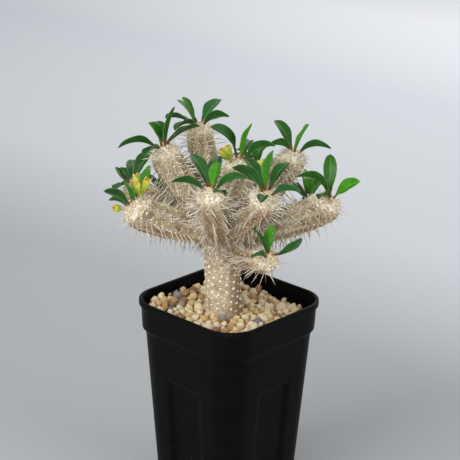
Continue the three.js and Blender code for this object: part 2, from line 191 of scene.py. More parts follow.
pot_height = pot_high.z
lip_half = (pot_high.x - pot_low.x) / 2
band_top_half = lip_half - LIP_PROUD
band_foot_half = band_top_half - BAND_TAPER
body_top_half = band_foot_half - SHOULDER_STEP
base_half = BASE_WIDTH / 2
lip_foot = pot_height - LIP_HEIGHT
shoulder_top = pot_height - BAND_HEIGHT
shoulder_foot = shoulder_top - SHOULDER_HEIGHT
body_slope = (body_top_half - base_half) / shoulder_foot
panel_top = pot_height - PANEL_BELOW_RIM


def panel_recess(across, height):
    """How deep the panel is pressed in at a distance from the side's middle and a height."""
    from_side = (PANEL_WIDTH / 2 - abs(across)) / PANEL_SLOPE
    from_top = (panel_top - height) / PANEL_SLOPE
    share = max(0, min(from_side, from_top, 1))
    return PANEL_DEPTH * lerp(share, share * share * (3 - 2 * share), 0.6)


def pot_ring(half, height, inset):
    """One level of the pot: four sides with their panels, and four rounded corners."""
    corner = lerp(BASE_CORNER, RIM_CORNER, min(max(height / pot_height, 0), 1)) - inset
    corner = min(corner, half)
    stops = [0, 4, 8, 11, 12, 13, 14, 15, 16, 17, 18.5]
    stops = [-s * MM for s in reversed(stops[1:])] + [s * MM for s in stops]
    side = [(half - panel_recess(across, height), across) for across in stops]
    arc = [math.radians(a) for a in range(0, 91, 6)]
    middle = half - corner
    side += [(middle + corner * math.cos(a), middle + corner * math.sin(a)) for a in arc]
    ring = []
    for quarter in range(4):
        c, s = math.cos(quarter * math.pi / 2), math.sin(quarter * math.pi / 2)
        ring += [(c * x - s * y, s * x + c * y, height) for x, y in side]
    return ring


def pot_profile():
    """Levels as [half width, height, inset], up the outside, over the lip and down the inside."""
    rows = []
    for a in map(math.radians, (0, 22, 45, 68, 90)):
        half = base_half - BASE_ROUND * (1 - math.sin(a))
        rows.append((half, BASE_ROUND * (1 - math.cos(a)), 0))
    heights = [5, 12, 25, 40, 55, 70, 80, 86, *range(88, 97), 98, 105, 114, 121]
    rows += [(base_half + body_slope * h * MM, h * MM, 0) for h in heights]
    # The shoulder, the band, and the lip with its rounded edge, by small steps out and up.
    band_middle = (band_foot_half + band_top_half) / 2
    for half, height, steps in (
        (body_top_half, shoulder_foot, [(-0.02, -0.9), (0.05, -0.2), (0.5, 0.3)]),
        (band_foot_half, shoulder_top, [(-0.6, -0.7), (-0.12, -0.1), (0, 0.6)]),
        (band_middle, (shoulder_top + lip_foot) / 2, [(0, 0)]),
        (band_top_half, lip_foot, [(-0.02, -0.5), (0.15, -0.05)]),
        (lip_half, lip_foot, [(-0.5, 0.02), (-0.12, 0.18)]),
    ):
        rows += [(half + out * MM, height + up * MM, 0) for out, up in steps]
    rows += [(lip_half, lip_foot + LIP_ROUND, 0), (lip_half, pot_height - LIP_ROUND, 0)]
    for a in map(math.radians, (30, 60, 90)):
        half = lip_half - LIP_ROUND * (1 - math.cos(a))
        rows.append((half, pot_height - LIP_ROUND * (1 - math.sin(a)), 0))
    band_slope = (band_top_half - band_foot_half) / (lip_foot - shoulder_top)
    rim_inside = band_foot_half + band_slope * BAND_HEIGHT - WALL
    for out, up in ((0.45, 0), (0.12, -0.15), (0, -0.5)):
        rows.append((rim_inside + out * MM, pot_height + up * MM, WALL))
    rows += [
        ((band_foot_half + rim_inside - WALL) / 2, (shoulder_top + pot_height) / 2, WALL),
        (band_foot_half - WALL, shoulder_top, WALL),
        (body_top_half - WALL, shoulder_foot, WALL),
    ]
    for h in (110, 97, 95, 92, 90, 88, 60, 30, 8, WALL / MM):
        rows.append((base_half + body_slope * h * MM - WALL, h * MM, WALL))
    return rows


def bridge(bm, low, high):
    """Faces between two closed rings with as many points each."""
    for i in range(len(low)):
        j = (i + 1) % len(low)
        bm.faces.new((low[i], low[j], high[j], high[i]))


def loop_edges(bm, ring):
    return [bm.edges.get((ring[i], ring[(i + 1) % len(ring)])) for i in range(len(ring))]


def pot_mesh():
    """The pot's skin, ring by ring, and its floor with four drain holes."""
    bm = bmesh.new()
    rings = [[bm.verts.new(p) for p in pot_ring(*row)] for row in pot_profile()]
    for low, high in zip(rings, rings[1:]):
        bridge(bm, low, high)
    hole_at = base_half - DRAIN_INSET
    hole = DRAIN_HOLE / 2
    circle = [(hole * math.cos(a), hole * math.sin(a)) for a in map(math.radians, range(0, 360, 15))]
    under, over = loop_edges(bm, rings[0]), loop_edges(bm, rings[-1])
    for sx, sy in ((1, 1), (-1, 1), (-1, -1), (1, -1)):
        spots = [(sx * hole_at + x, sy * hole_at + y) for x, y in circle]
        low, high = ([bm.verts.new((*spot, height)) for spot in spots] for height in (0, WALL))
        bridge(bm, high, low)
        under += loop_edges(bm, low)
        over += loop_edges(bm, high)
    bmesh.ops.triangle_fill(bm, edges=under, use_beauty=True)
    bmesh.ops.triangle_fill(bm, edges=over, use_beauty=True)
    bmesh.ops.recalc_face_normals(bm, faces=bm.faces)
    return mesh_of(bm, "pot")


# Polypropylene with carbon black, as it leaves a lightly polished mould: satin, a little cloudy from
# handling, with fine upright rubs from nesting and specks of dust from the mix.
black_plastic, tree, shader = material_tree("polypropylene_black_satin")
place = add(tree, "ShaderNodeTexCoord").outputs["Object"]
cloud = add(tree, "ShaderNodeTexNoise", {"Vector": place, "Scale": 45, "Detail": 4})
upright = add(tree, "ShaderNodeMapping", {"Vector": place, "Scale": (1, 1, 0.06)})
rubs = add(tree, "ShaderNodeTexNoise", {"Vector": upright, "Scale": 900, "Detail": 2})
rub_lines = add(tree, "ShaderNodeValToRGB", {"Fac": rubs}, [(0.66, 0.0), (0.76, 1.0)])
rub_where = add(tree, "ShaderNodeValToRGB", {"Fac": cloud}, [(0.48, 0.0), (0.68, 1.0)])
rubbed = add(tree, "ShaderNodeMath", {0: rub_lines, 1: rub_where}, operation="MULTIPLY")
specks = add(tree, "ShaderNodeTexVoronoi", {"Vector": place, "Scale": PER_MM / 7, "Randomness": 1})
speck_dots = add(tree, "ShaderNodeValToRGB", {"Fac": specks}, [(0.03, 1.0), (0.055, 0.0)])
marked = add(tree, "ShaderNodeMath", {0: rubbed, 1: speck_dots}, operation="MAXIMUM")
body_colour = add(tree, "ShaderNodeValToRGB", {"Fac": cloud}, [(0.3, "#060606"), (0.75, "#0c0c0c")])
coloured = mixed(tree, marked, body_colour, linear("#8f9092"), 0.1)
gloss = add(tree, "ShaderNodeMapRange", {"Value": cloud, "To Min": 0.34, "To Max": 0.52})
grain = add(tree, "ShaderNodeTexNoise", {"Vector": place, "Scale": PER_MM / 1.4, "Detail": 2})
grain_bump = add(tree, "ShaderNodeBump", {"Height": grain, "Strength": 0.12, "Distance": 0.3 * MM})
feed(shader, {"Base Color": coloured, "Roughness": gloss, "Normal": grain_bump})
feed(shader, {"IOR": 1.49, "Specular IOR Level": 0.06})

pot = finished("nursery_pot", pot_mesh(), ["pot"], black_plastic)
pot.data.set_sharp_from_angle(angle=math.radians(50))

# ---------------------------------------------------------------------------
# Potting mix
# Baked clay and pumice granules, 3 to 8 mm across, poured loose round the roots:
# a bed that fills the pot, and the granules that lie on top of it.
# ---------------------------------------------------------------------------

GRANULE_LAYERS = [
    # name, drop of the layer's middle, spacing, smallest, largest, inset from the wall, seed
    ("granules_fine", 3.6, 2.7, 2.6, 3.8, 2.4, 11),
    ("granules_middle", 2.6, 4.1, 4.2, 6.2, 3.4, 12),
    ("granules_top", 0.4, 6.0, 5.0, 8.2, 4.6, 13),
]
BED_DROP = 3.6 * MM
# The bed shows only in the gaps between granules; its dark brown tone is painted shade for those
# gaps.
BED_GAP_SHADE_TONE = 0.78
MIX_SKIN = 12 * MM


def merged_copy(node):
    """A CAD node's mesh copied, with its loose triangles joined."""
    bm = bmesh.new()
    bm.from_mesh(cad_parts[node].data)
    bmesh.ops.remove_doubles(bm, verts=bm.verts, dist=1e-5)
    bmesh.ops.recalc_face_normals(bm, faces=bm.faces)
    bm.verts.index_update()
    return bm


mix_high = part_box("potting_mix")[1]
bed = merged_copy("potting_mix")
upward = [f for f in bed.faces if f.normal.z > 0.7]
mix_top_faces = [f for f in upward if f.calc_center_median().z > mix_high.z - MIX_SKIN]
mix_top = {v for f in mix_top_faces for v in f.verts}
mix_level = sum(v.co.z for v in mix_top) / len(mix_top)
sheet_bm = bmesh.new()
copied = {v: sheet_bm.verts.new(v.co) for v in mix_top}
for face in mix_top_faces:
    sheet_bm.faces.new([copied[v] for v in face.verts])
mix_sheet = mesh_of(sheet_bm, "mix_sheet")
for vert in mix_top:
    vert.co.z -= BED_DROP
bed_mesh = mesh_of(bed, "bed")


def lump_shapes(count, seed):
    """A few rounded, slightly flattened lumps, one unit across, that every granule is a copy of."""
    shapes = bpy.data.collections.new("lumps")
    for i in range(count):
        bm = bmesh.new()
        bmesh.ops.create_icosphere(bm, subdivisions=2, radius=0.5)
        for vert in bm.verts:
            way = vert.co.normalized()
            rough = noise.noise(way * 1.3 + Vector((seed + 7 * i, 0, 0)))
            knobs = noise.noise(way * 3.1 + Vector((0, seed + 5 * i, 0)))
            vert.co = way * (0.48 + 0.24 * rough + 0.11 * knobs)
        mesh = mesh_of(bm, "lump")
        mesh.shade_smooth()
        shapes.objects.link(bpy.data.objects.new(f"lump_{i}", mesh))
    return shapes


def new_tree(name, sockets):
    """A geometry tree with its named inputs, and its input and output nodes."""
    made = bpy.data.node_groups.new(name, "GeometryNodeTree")
    made.interface.new_socket("Geometry", in_out="INPUT", socket_type="NodeSocketGeometry")
    for label, kind in sockets:
        made.interface.new_socket(label, in_out="INPUT", socket_type="NodeSocket" + kind)
    made.interface.new_socket("Geometry", in_out="OUTPUT", socket_type="NodeSocketGeometry")
    return made, add(made, "NodeGroupInput").outputs, add(made, "NodeGroupOutput")


def copies_on(tree, points, shapes, which, turn, size):
    """A copy of one of the shapes on every point, with the point's own turn and size."""
    pick = {"Collection": shapes, "Separate Children": True, "Reset Children": True}
    picked = add(tree, "GeometryNodeCollectionInfo", pick)
    copies = {"Points": points, "Instance": picked, "Pick Instance": True, "Instance Index": which}
    return add(tree, "GeometryNodeInstanceOnPoints", {**copies, "Rotation": turn, "Scale": size})


def made_real(tree, copies, material, out):
    """Ends a geometry tree: its copies become plain faces of one material."""
    real = add(tree, "GeometryNodeRealizeInstances", {"Geometry": copies})
    feed(out, {0: add(tree, "GeometryNodeSetMaterial", {"Geometry": real, "Material": material})})


def settled(holder):
    """The mesh of an object once its modifiers have run. The object itself is let go."""
    evaluated = holder.evaluated_get(bpy.context.evaluated_depsgraph_get())
    mesh = bpy.data.meshes.new_from_object(evaluated)
    bpy.data.objects.remove(holder)
    return mesh


def grown(mesh, nodes_tree, values):
    """The mesh that a geometry tree makes of a mesh, with the tree's inputs set by name."""
    holder = placed("holder", mesh)
    modifier = holder.modifiers.new("grow", "NODES")
    modifier.node_group = nodes_tree
    for item in nodes_tree.interface.items_tree:
        if item.in_out == "INPUT" and item.name in values:
            modifier[item.identifier] = values[item.name]
    return settled(holder)


def tell(mesh, name, values):
    """Gives a mesh one number per vertex that its material can read."""
    layer = mesh.attributes.new(name, "FLOAT", "POINT")
    layer.data.foreach_set("value", np.ascontiguousarray(values, np.float32))


# Fired clay and pumice: dry, dusty and matt, in creams and tans, with a few grey lumps.
granule_stone, tree, shader = material_tree("clay_and_pumice_granules_dry")
place = add(tree, "ShaderNodeTexCoord").outputs["Object"]
tone = add(tree, "ShaderNodeAttribute", attribute_name="tone").outputs["Fac"]
lump_colours = [
    (0.0, "#f6e6c2"),
    (0.24, "#ecd6a6"),
    (0.46, "#dcbc86"),
    (0.66, "#c39a66"),
    (0.76, "#977554"),
    (0.81, "#f0dfba"),
    (0.965, "#9b9a8f"),
    (0.985, "#7c8384"),
]
lump_colour = add(tree, "ShaderNodeValToRGB", {"Fac": tone}, lump_colours)
lump_colour.color_ramp.interpolation = "CONSTANT"
grit = {"Vector": place, "Scale": PER_MM / 1.1, "Detail": 5, "Roughness": 0.7}
mottle = add(tree, "ShaderNodeTexNoise", grit)
mottle_range = {"Value": mottle, "From Min": 0.3, "From Max": 0.7, "To Min": 0.66, "To Max": 1.12}
mottle_shade = add(tree, "ShaderNodeMapRange", mottle_range)
lump_mottled = mixed(tree, 1.0, lump_colour, mottle_shade, kind="MULTIPLY")
pits = add(tree, "ShaderNodeBump", {"Height": mottle, "Strength": 0.6, "Distance": 0.5 * MM})
feed(shader, {"Base Color": lump_mottled, "Normal": pits, "Roughness": 0.92})

# The tree that strews granules over a sheet: each spot gets its own lump, turn, size and tone.
strew, given, out = new_tree(
    "strew granules",
    [
        ("Lumps", "Collection"),
        ("Spacing", "Float"),
        ("Smallest", "Float"),
        ("Largest", "Float"),
        ("Seed", "Int"),
        ("Stone", "Material"),
    ],
)
seed = given["Seed"]
sown = {"Mesh": given["Geometry"], "Distance Min": given["Spacing"], "Density Max": 1e6}
sown["Seed"] = seed
spots = add(strew, "GeometryNodeDistributePointsOnFaces", sown, distribute_method="POISSON")
turn, size, squash, which, shade = [
    add(strew, "FunctionNodeRandomValue", {**limits, "Seed": seed}, data_type=kind).outputs[output]
    for limits, kind, output in (
        ({1: (6.28, 6.28, 6.28)}, "FLOAT_VECTOR", 0),
        ({2: given["Smallest"], 3: given["Largest"]}, "FLOAT", 1),
        ({0: (0.85, 0.75, 0.6), 1: (1.2, 1.0, 0.95)}, "FLOAT_VECTOR", 0),
        ({4: 0, 5: 5}, "INT", 2),
        ({2: 0.0, 3: 1.0}, "FLOAT", 1),
    )
]
sized = add(strew, "ShaderNodeVectorMath", {0: squash, "Scale": size}, operation="SCALE")
strewn = copies_on(strew, spots, given["Lumps"], which, turn, sized)
toned = add(
    strew,
    "GeometryNodeStoreNamedAttribute",
    {"Geometry": strewn, "Name": "tone", "Value": shade},
    data_type="FLOAT",
    domain="INSTANCE",
)
made_real(strew, toned, given["Stone"], out)

tell(bed_mesh, "tone", [BED_GAP_SHADE_TONE] * len(bed_mesh.vertices))
finished("granule_bed", bed_mesh, ["potting_mix"], granule_stone)
granule_lumps = lump_shapes(6, 3)
for name, drop, spacing, smallest, largest, inset, seed in GRANULE_LAYERS:
    sheet = mix_sheet.copy()
    half = max(v.co.x for v in sheet.vertices)
    shrink = (half - inset * MM) / half
    for vert in sheet.vertices:
        vert.co = (vert.co.x * shrink, vert.co.y * shrink, vert.co.z - drop * MM)
    values = {
        "Lumps": granule_lumps,
        "Spacing": spacing * MM,
        "Smallest": smallest * MM,
        "Largest": largest * MM,
        "Seed": seed,
        "Stone": granule_stone,
    }
    finished(name, grown(sheet, strew, values), ["potting_mix"], granule_stone)

# ---------------------------------------------------------------------------
# Stem
# One plant grown in one piece: a pale corky trunk that swells into a fork, and
# fourteen finger-thick clubs, ribbed lengthwise where their spines stand.
# ---------------------------------------------------------------------------

FORK_ABOVE_MIX = 58 * MM
LOWEST_ROOT = 12 * MM
CLUB_SAG = 3 * MM
USUAL_CLUB = 11 * MM
WIDEST_CLUB = 12.5 * MM
TIP_INSET = 12 * MM
ROWS_ROUND_CLUB = 9
ROWS_ROUND_TRUNK = 16
RIB_HEIGHT = 0.85 * MM
RIB_WIDTH = 1.5 * MM
ROW_TWIST = 0.5
SKIN_GRAIN = 1.0 * MM
WRINKLE_PITCH = 1.9 * MM
WRINKLE_DEPTH = 0.1 * MM
LUMP_HEIGHT = 0.5 * MM
FINE_LUMP_HEIGHT = 0.3 * MM
SKIN_LIFT = 0.25 * MM
BARE_TRUNK = 38 * MM
USUAL_TRUNK = 12.7 * MM

stem_bm = merged_copy("stem")
stem_tree = BVHTree.FromBMesh(stem_bm)
stem_rough = mesh_of(stem_bm, "stem_rough")


def corners_of(node):
    """The corner points of a CAD node."""
    bm = merged_copy(node)
    corners = [v.co.copy() for v in bm.verts]
    bm.free()
    return corners


def nearest_stem(points):
    """The one of some points that lies nearest to the stem."""
    return min(points, key=lambda p: stem_tree.find_nearest(p)[3])


def read_leaf(node):
    """The foot of a CAD leaf and its rings up to the tip, found by walking up from the stem."""
    bm = merged_copy(node)
    poles = [v for v in bm.verts if len(v.link_edges) == 4]
    foot = min(poles, key=lambda v: stem_tree.find_nearest(v.co)[3])
    rings, seen, front = [], {foot}, [foot]
    while True:
        reached = {e.other_vert(v) for v in front for e in v.link_edges} - seen
        front = sorted(reached, key=lambda v: v.index)
        if not front:
            break
        seen |= reached
        rings.append([v.co.copy() for v in front])
    base = foot.co.copy()
    bm.free()
    return base, rings


def reach_of_skin(origin, way, otherwise):
    """How far the stem's skin is from a point inside it."""
    hit = stem_tree.ray_cast(origin, way)
    return hit[3] if hit[0] else otherwise


def arched(start, bend, end, share):
    """A point at a share of an arch drawn out by a third point, and the way along it there."""
    point = start * (1 - share) ** 2 + bend * 2 * share * (1 - share) + end * share**2
    return point, ((bend - start) * (1 - share) + (end - bend) * share).normalized()


def club_stations(tip, facing):
    """A club's middle line from the fork to its tip: points, the way along it, and its radius."""
    reach = Vector((tip.x - fork.x, tip.y - fork.y, 0)).normalized()
    across = Vector((reach.y, -reach.x, 0))
    inside = tip - facing * TIP_INSET
    ways = [reach_of_skin(inside, way, USUAL_CLUB) for way in (across, -across)]
    radius = min(sum(ways) / 2, WIDEST_CLUB)
    middle = tip - facing * radius
    root = fork - Vector((0, 0, max(0, min(LOWEST_ROOT, fork.z + 8 * MM - tip.z))))
    bend = (root + middle) / 2 - Vector((0, 0, 2 * CLUB_SAG))
    stations = []
    steps = 44
    for i in range(steps + 1):
        point, along = arched(root, bend, middle, i / steps)
        along = along.lerp(facing, float(smooth_step(0.72, 1, i / steps))).normalized()
        stations.append((point, along))
    return {"stations": stations, "across": across, "radius": radius, "tip": tip}


crown = [v.co for v in stem_rough.vertices if v.co.z < mix_level - 5 * MM]
foot_x = sum(p.x for p in crown) / len(crown)
foot_y = sum(p.y for p in crown) / len(crown)


def trunk_middle(height):
    """The middle of the trunk at a height, from its skin on four sides."""
    at = Vector((foot_x, foot_y, height))
    x, y = Vector((1, 0, 0)), Vector((0, 1, 0))
    shift_x = (reach_of_skin(at, x, 0) - reach_of_skin(at, -x, 0)) / 2
    shift_y = (reach_of_skin(at, y, 0) - reach_of_skin(at, -y, 0)) / 2
    return at + Vector((shift_x, shift_y, 0))


trunk_foot = trunk_middle(mix_level + 2 * MM)
trunk_head = trunk_middle(mix_level + BARE_TRUNK)
trunk_way = (trunk_head - trunk_foot).normalized()
fork = trunk_foot + trunk_way * (FORK_ABOVE_MIX / trunk_way.z)

shoots = {}
for node in sorted(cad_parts):
    if node.startswith("leaf_"):
        shoots.setdefault(node[5:].rsplit("_", 1)[0], []).append(read_leaf(node)[0])
    if node.startswith("rosette_"):
        shoots[node] = [nearest_stem(corners_of(node))]

clubs = {}
for name, bases in shoots.items():
    facing = sum((stem_tree.find_nearest(base)[1] for base in bases), Vector()).normalized()
    tip = sum(bases, Vector()) / len(bases)
    clubs[name] = club_stations(stem_tree.find_nearest(tip)[0], facing)

plant_x = Vector((1, 0, 0))
trunk = {
    "stations": [(trunk_foot + trunk_way * (i - 8) * MM, trunk_way) for i in range(0, 66, 2)],
    "across": plant_x,
    "radius": reach_of_skin(trunk_foot, plant_x, USUAL_TRUNK),
}


def fine_skin():
    """The stem with its facets smoothed away: a fine even mesh over the CAD stem."""
    holder = placed("stem_holder", stem_rough)
    grid = holder.modifiers.new("grid", "REMESH")
    grid.mode = "VOXEL"
    grid.voxel_size = SKIN_GRAIN
    relax = holder.modifiers.new("relax", "SMOOTH")
    relax.factor = 0.5
    relax.iterations = 14
    return settled(holder)


def vertex_array(source, what):
    """One row of three numbers for each vertex."""
    values = np.zeros(len(source) * 3)
    source.foreach_get(what, values)
    return values.reshape(-1, 3)


def nearest_limb(points):
    """For each point: its limb's number, how far along it lies (0 to 1), and its angle round it."""
    best = np.full(len(points), 1e9)
    along_of = np.zeros(len(points))
    angle_of = np.zeros(len(points))
    limb_of = np.zeros(len(points), int)
    for number, limb in enumerate([*clubs.values(), trunk]):
        middles = np.array([p for p, _ in limb["stations"]])
        ways = np.array([w for _, w in limb["stations"]])
        gaps = ((points[:, None, :] - middles[None, :, :]) ** 2).sum(2)
        station = gaps.argmin(1)
        offset = points - middles[station]
        beyond = (offset * ways[station]).sum(1)
        level = offset - ways[station] * beyond[:, None]
        miss = np.abs(np.sqrt(gaps.min(1)) - limb["radius"])
        across = np.array(limb["across"])
        out = np.cross(ways[station], across)
        closer = miss < best
        best[closer] = miss[closer]
        limb_of[closer] = number
        last = len(middles) - 1
        past_end = np.clip(beyond / limb["radius"], 0, 1) * 0.2
        share = station / last + np.where(station == last, past_end, 0)
        along_of[closer] = share[closer]
        angle_of[closer] = np.arctan2((level * out).sum(1), (level * across).sum(1))[closer]
    return limb_of, along_of, angle_of


skin = fine_skin()
points = vertex_array(skin.vertices, "co")
normals = vertex_array(skin.vertex_normals, "vector")
limb_of, along_of, angle_of = nearest_limb(points)
on_trunk = (limb_of == len(clubs)).astype(float)
rows_of = np.where(on_trunk > 0, ROWS_ROUND_TRUNK, ROWS_ROUND_CLUB)
turns = (angle_of - ROW_TWIST * along_of) * rows_of / (2 * math.pi)
row_gap = np.abs(turns - np.round(turns)) * 2 * math.pi * USUAL_CLUB / rows_of
rib = np.exp(-((row_gap / RIB_WIDTH) ** 2))
above = points[:, 2] - mix_level
tips = [np.array(limb["tip"]) for limb in clubs.values()]
tip_near = np.min([np.linalg.norm(points - tip, axis=1) for tip in tips], axis=0)
lumps = np.array([noise.noise(Vector(p) * 170) for p in points])
fine_lumps = np.array([noise.noise(Vector(p) * 430 + Vector((9, 4, 1))) for p in points])
lift = SKIN_LIFT + rib * RIB_HEIGHT * (1 - 0.75 * on_trunk)
lift += lumps * LUMP_HEIGHT + fine_lumps * FINE_LUMP_HEIGHT
wrinkle = np.sin(above / WRINKLE_PITCH * 2 * math.pi + 2.5 * lumps) * on_trunk
lift += wrinkle * smooth_step(0.0, 6 * MM, above) * WRINKLE_DEPTH
points = points + normals * lift[:, None]
skin.vertices.foreach_set("co", points.ravel())
skin.update()
tell(skin, "rib", rib * (1 - 0.5 * on_trunk))
tell(skin, "at_tip", 1 - smooth_step(6 * MM, 17 * MM, tip_near))
# Downward-facing skin: the mask for painted shade, browning the undersides of the clubs.
tell(skin, "under", smooth_step(0.0, 0.7, -normals[:, 2]))
tell(skin, "on_trunk", on_trunk * (1 - smooth_step(44 * MM, 58 * MM, above)))
# Skin facing the camera's right: the mask for painted shade on the trunk's right side.
tell(skin, "painted_right_shade", smooth_step(0.1, 0.9, normals @ np.array(level_right)))
corners = [Vector(p) for p in points]
skin_tree = BVHTree.FromPolygons(corners, [tuple(p.vertices) for p in skin.polygons])

# Corky skin: dry and matt. Cream-tan on the trunk, browned on its right side as painted shade. Tan
# with paler ribs on the clubs, darkened as painted shade between the spines, with painted shade in
# brown beneath them;
# cream flecked with brown where young growth crowds a tip.
bark, tree, shader = material_tree("succulent_bark_dry_corky")
place = add(tree, "ShaderNodeTexCoord").outputs["Object"]
patch_size = {"Vector": place, "Scale": PER_MM / 11, "Detail": 4, "Roughness": 0.6}
patches = add(tree, "ShaderNodeTexNoise", patch_size)
fleck_size = {"Vector": place, "Scale": PER_MM / 1.6, "Detail": 4, "Roughness": 0.7}
flecks = add(tree, "ShaderNodeTexNoise", fleck_size)
told = {
    name: add(tree, "ShaderNodeAttribute", attribute_name=name).outputs["Fac"]
    for name in ("rib", "at_tip", "under", "on_trunk", "painted_right_shade")
}
# The club's own tan, darkened all over as painted shade for the gaps between its spines.
club_colours_with_painted_shade = [(0.3, "#715a3e"), (0.46, "#988362"), (0.6, "#b0a37f"), (0.75, "#8a7352")]
club_colour_with_painted_shade = add(tree, "ShaderNodeValToRGB", {"Fac": patches}, club_colours_with_painted_shade)
trunk_colours = [(0.3, "#b39b7b"), (0.5, "#cab798"), (0.72, "#dacdb4")]
trunk_colour = add(tree, "ShaderNodeValToRGB", {"Fac": patches}, trunk_colours)
tip_colours = [(0.34, "#a67546"), (0.44, "#dcbf8c"), (0.58, "#f2e6c6")]
tip_colour = add(tree, "ShaderNodeValToRGB", {"Fac": flecks}, tip_colours)
# Painted shade: the trunk browner on its right, away from the window.
shady_trunk = {0: told["painted_right_shade"], 1: told["on_trunk"]}
painted_side_shade = add(tree, "ShaderNodeMath", shady_trunk, operation="MULTIPLY")
colour = club_colour_with_painted_shade
for share, laid, most in (
    # Painted shade: brown on the undersides.
    (told["under"], linear("#94704c"), 0.62),
    (told["rib"], linear("#e2d7c1"), 0.4),
    (told["on_trunk"], trunk_colour, 1.0),
    (painted_side_shade, linear("#83603f"), 0.75),
    (told["at_tip"], tip_colour, 0.95),
):
    colour = mixed(tree, share, colour, laid, most)
fleck_range = {"Value": flecks, "From Min": 0.3, "From Max": 0.7, "To Min": 0.5, "To Max": 1.38}
fleck_shade = add(tree, "ShaderNodeMapRange", fleck_range)
colour = mixed(tree, 1.0, colour, fleck_shade, kind="MULTIPLY")
upright = add(tree, "ShaderNodeMapping", {"Vector": place, "Scale": (1, 1, 6)})
creases = add(tree, "ShaderNodeTexNoise", {"Vector": upright, "Scale": PER_MM / 6, "Detail": 5})
crease_bump = add(tree, "ShaderNodeBump", {"Height": creases, "Strength": 0.8, "Distance": 1.2 * MM})
fleck_depth = {"Height": flecks, "Strength": 0.5, "Distance": 0.5 * MM, "Normal": crease_bump}
fleck_bump = add(tree, "ShaderNodeBump", fleck_depth)
feed(shader, {"Base Color": colour, "Normal": fleck_bump, "Roughness": 0.85})

finished("stem_skin", skin, ["stem"], bark)

# ---------------------------------------------------------------------------
# Spines
# Rows of hard bristles, 8 to 14 mm long on the clubs and shorter at the tips, grow
# out of the ribs like the teeth of a comb. Each stands on a small corky cushion.
# ---------------------------------------------------------------------------

SPINE_STEP = 3.1 * MM
SPINE_LENGTH = 11.5 * MM
SPINE_ACROSS = 0.95 * MM
TIP_STEP = 2.2 * MM
NODULES = 3
MISSING_SPINES = 0.06
BARE_FOOT = 34 * MM
CROWN_CUSHIONS = 170
GOLDEN_ANGLE = 2.39996
SCAR_STEP = 5.2 * MM
SCARRED_RUN = 54 * MM
CURLED_ABOVE = 36 * MM

chance = random.Random(5)


def spot_on_skin(origin, way, most):
    """Where a line from inside a limb leaves the stem, if that is the limb's own skin."""
    here, normal, _, gap = skin_tree.ray_cast(origin, way)
    return (here, normal) if here and gap < most else None


def side_of(limb, way, angle):
    """The way out of a limb at an angle round it."""
    return limb["across"] * math.cos(angle) + way.cross(limb["across"]) * math.sin(angle)


def row_spots(limb, row, step):
    """Spots along one rib, from where the limb leaves the fork to the edge of its bud."""
    spots = []
    middles = limb["stations"]
    run = sum((b[0] - a[0]).length for a, b in zip(middles, middles[1:]))
    count = int(run / step)
    start = chance.random() * 0.4
    first_angle = 2 * math.pi * row / ROWS_ROUND_CLUB
    for i in range(count):
        along = (i + start) / count
        low = min(int(along * (len(middles) - 1)), len(middles) - 2)
        share = along * (len(middles) - 1) - low
        point = middles[low][0].lerp(middles[low + 1][0], share)
        way = middles[low][1].lerp(middles[low + 1][1], share).normalized()
        spots.append((point, side_of(limb, way, first_angle + ROW_TWIST * along), way, along))
    point, way = middles[-1]
    side = side_of(limb, way, first_angle + ROW_TWIST)
    lean = 0.1
    while lean < 1.12:
        spots.append((point, side * math.cos(lean) + way * math.sin(lean), way, 1 + lean / 10))
        lean += TIP_STEP / limb["radius"]
    return spots


class Bristles:
    """Points that each carry one bristle or cushion, with its turn, size, tone and kind."""

    def __init__(self):
        self.at, self.turn, self.size, self.tone, self.kind = [], [], [], [], []

    def stand(self, here, way, size, tone, kind=0):
        spin = Matrix.Rotation(chance.uniform(0, 6.28), 3, "Z")
        self.at.append(here)
        self.turn.append((way.to_track_quat("Z", "Y").to_matrix() @ spin).to_euler())
        self.size.append(size)
        self.tone.append(tone)
        self.kind.append(kind)

    def mesh(self):
        made = bpy.data.meshes.new("spots")
        made.from_pydata(self.at, [], [])
        for name, values in (("turn", self.turn), ("size", self.size)):
            layer = made.attributes.new(name, "FLOAT_VECTOR", "POINT")
            layer.data.foreach_set("vector", np.array(values, np.float32).ravel())
        tell(made, "tone", self.tone)
        layer = made.attributes.new("kind", "INT", "POINT")
        layer.data.foreach_set("value", np.array(self.kind, np.int32))
        return made


def scatter(amount):
    """A small random shift, the same in every direction."""
    return Vector([chance.gauss(0, amount) for _ in range(3)])


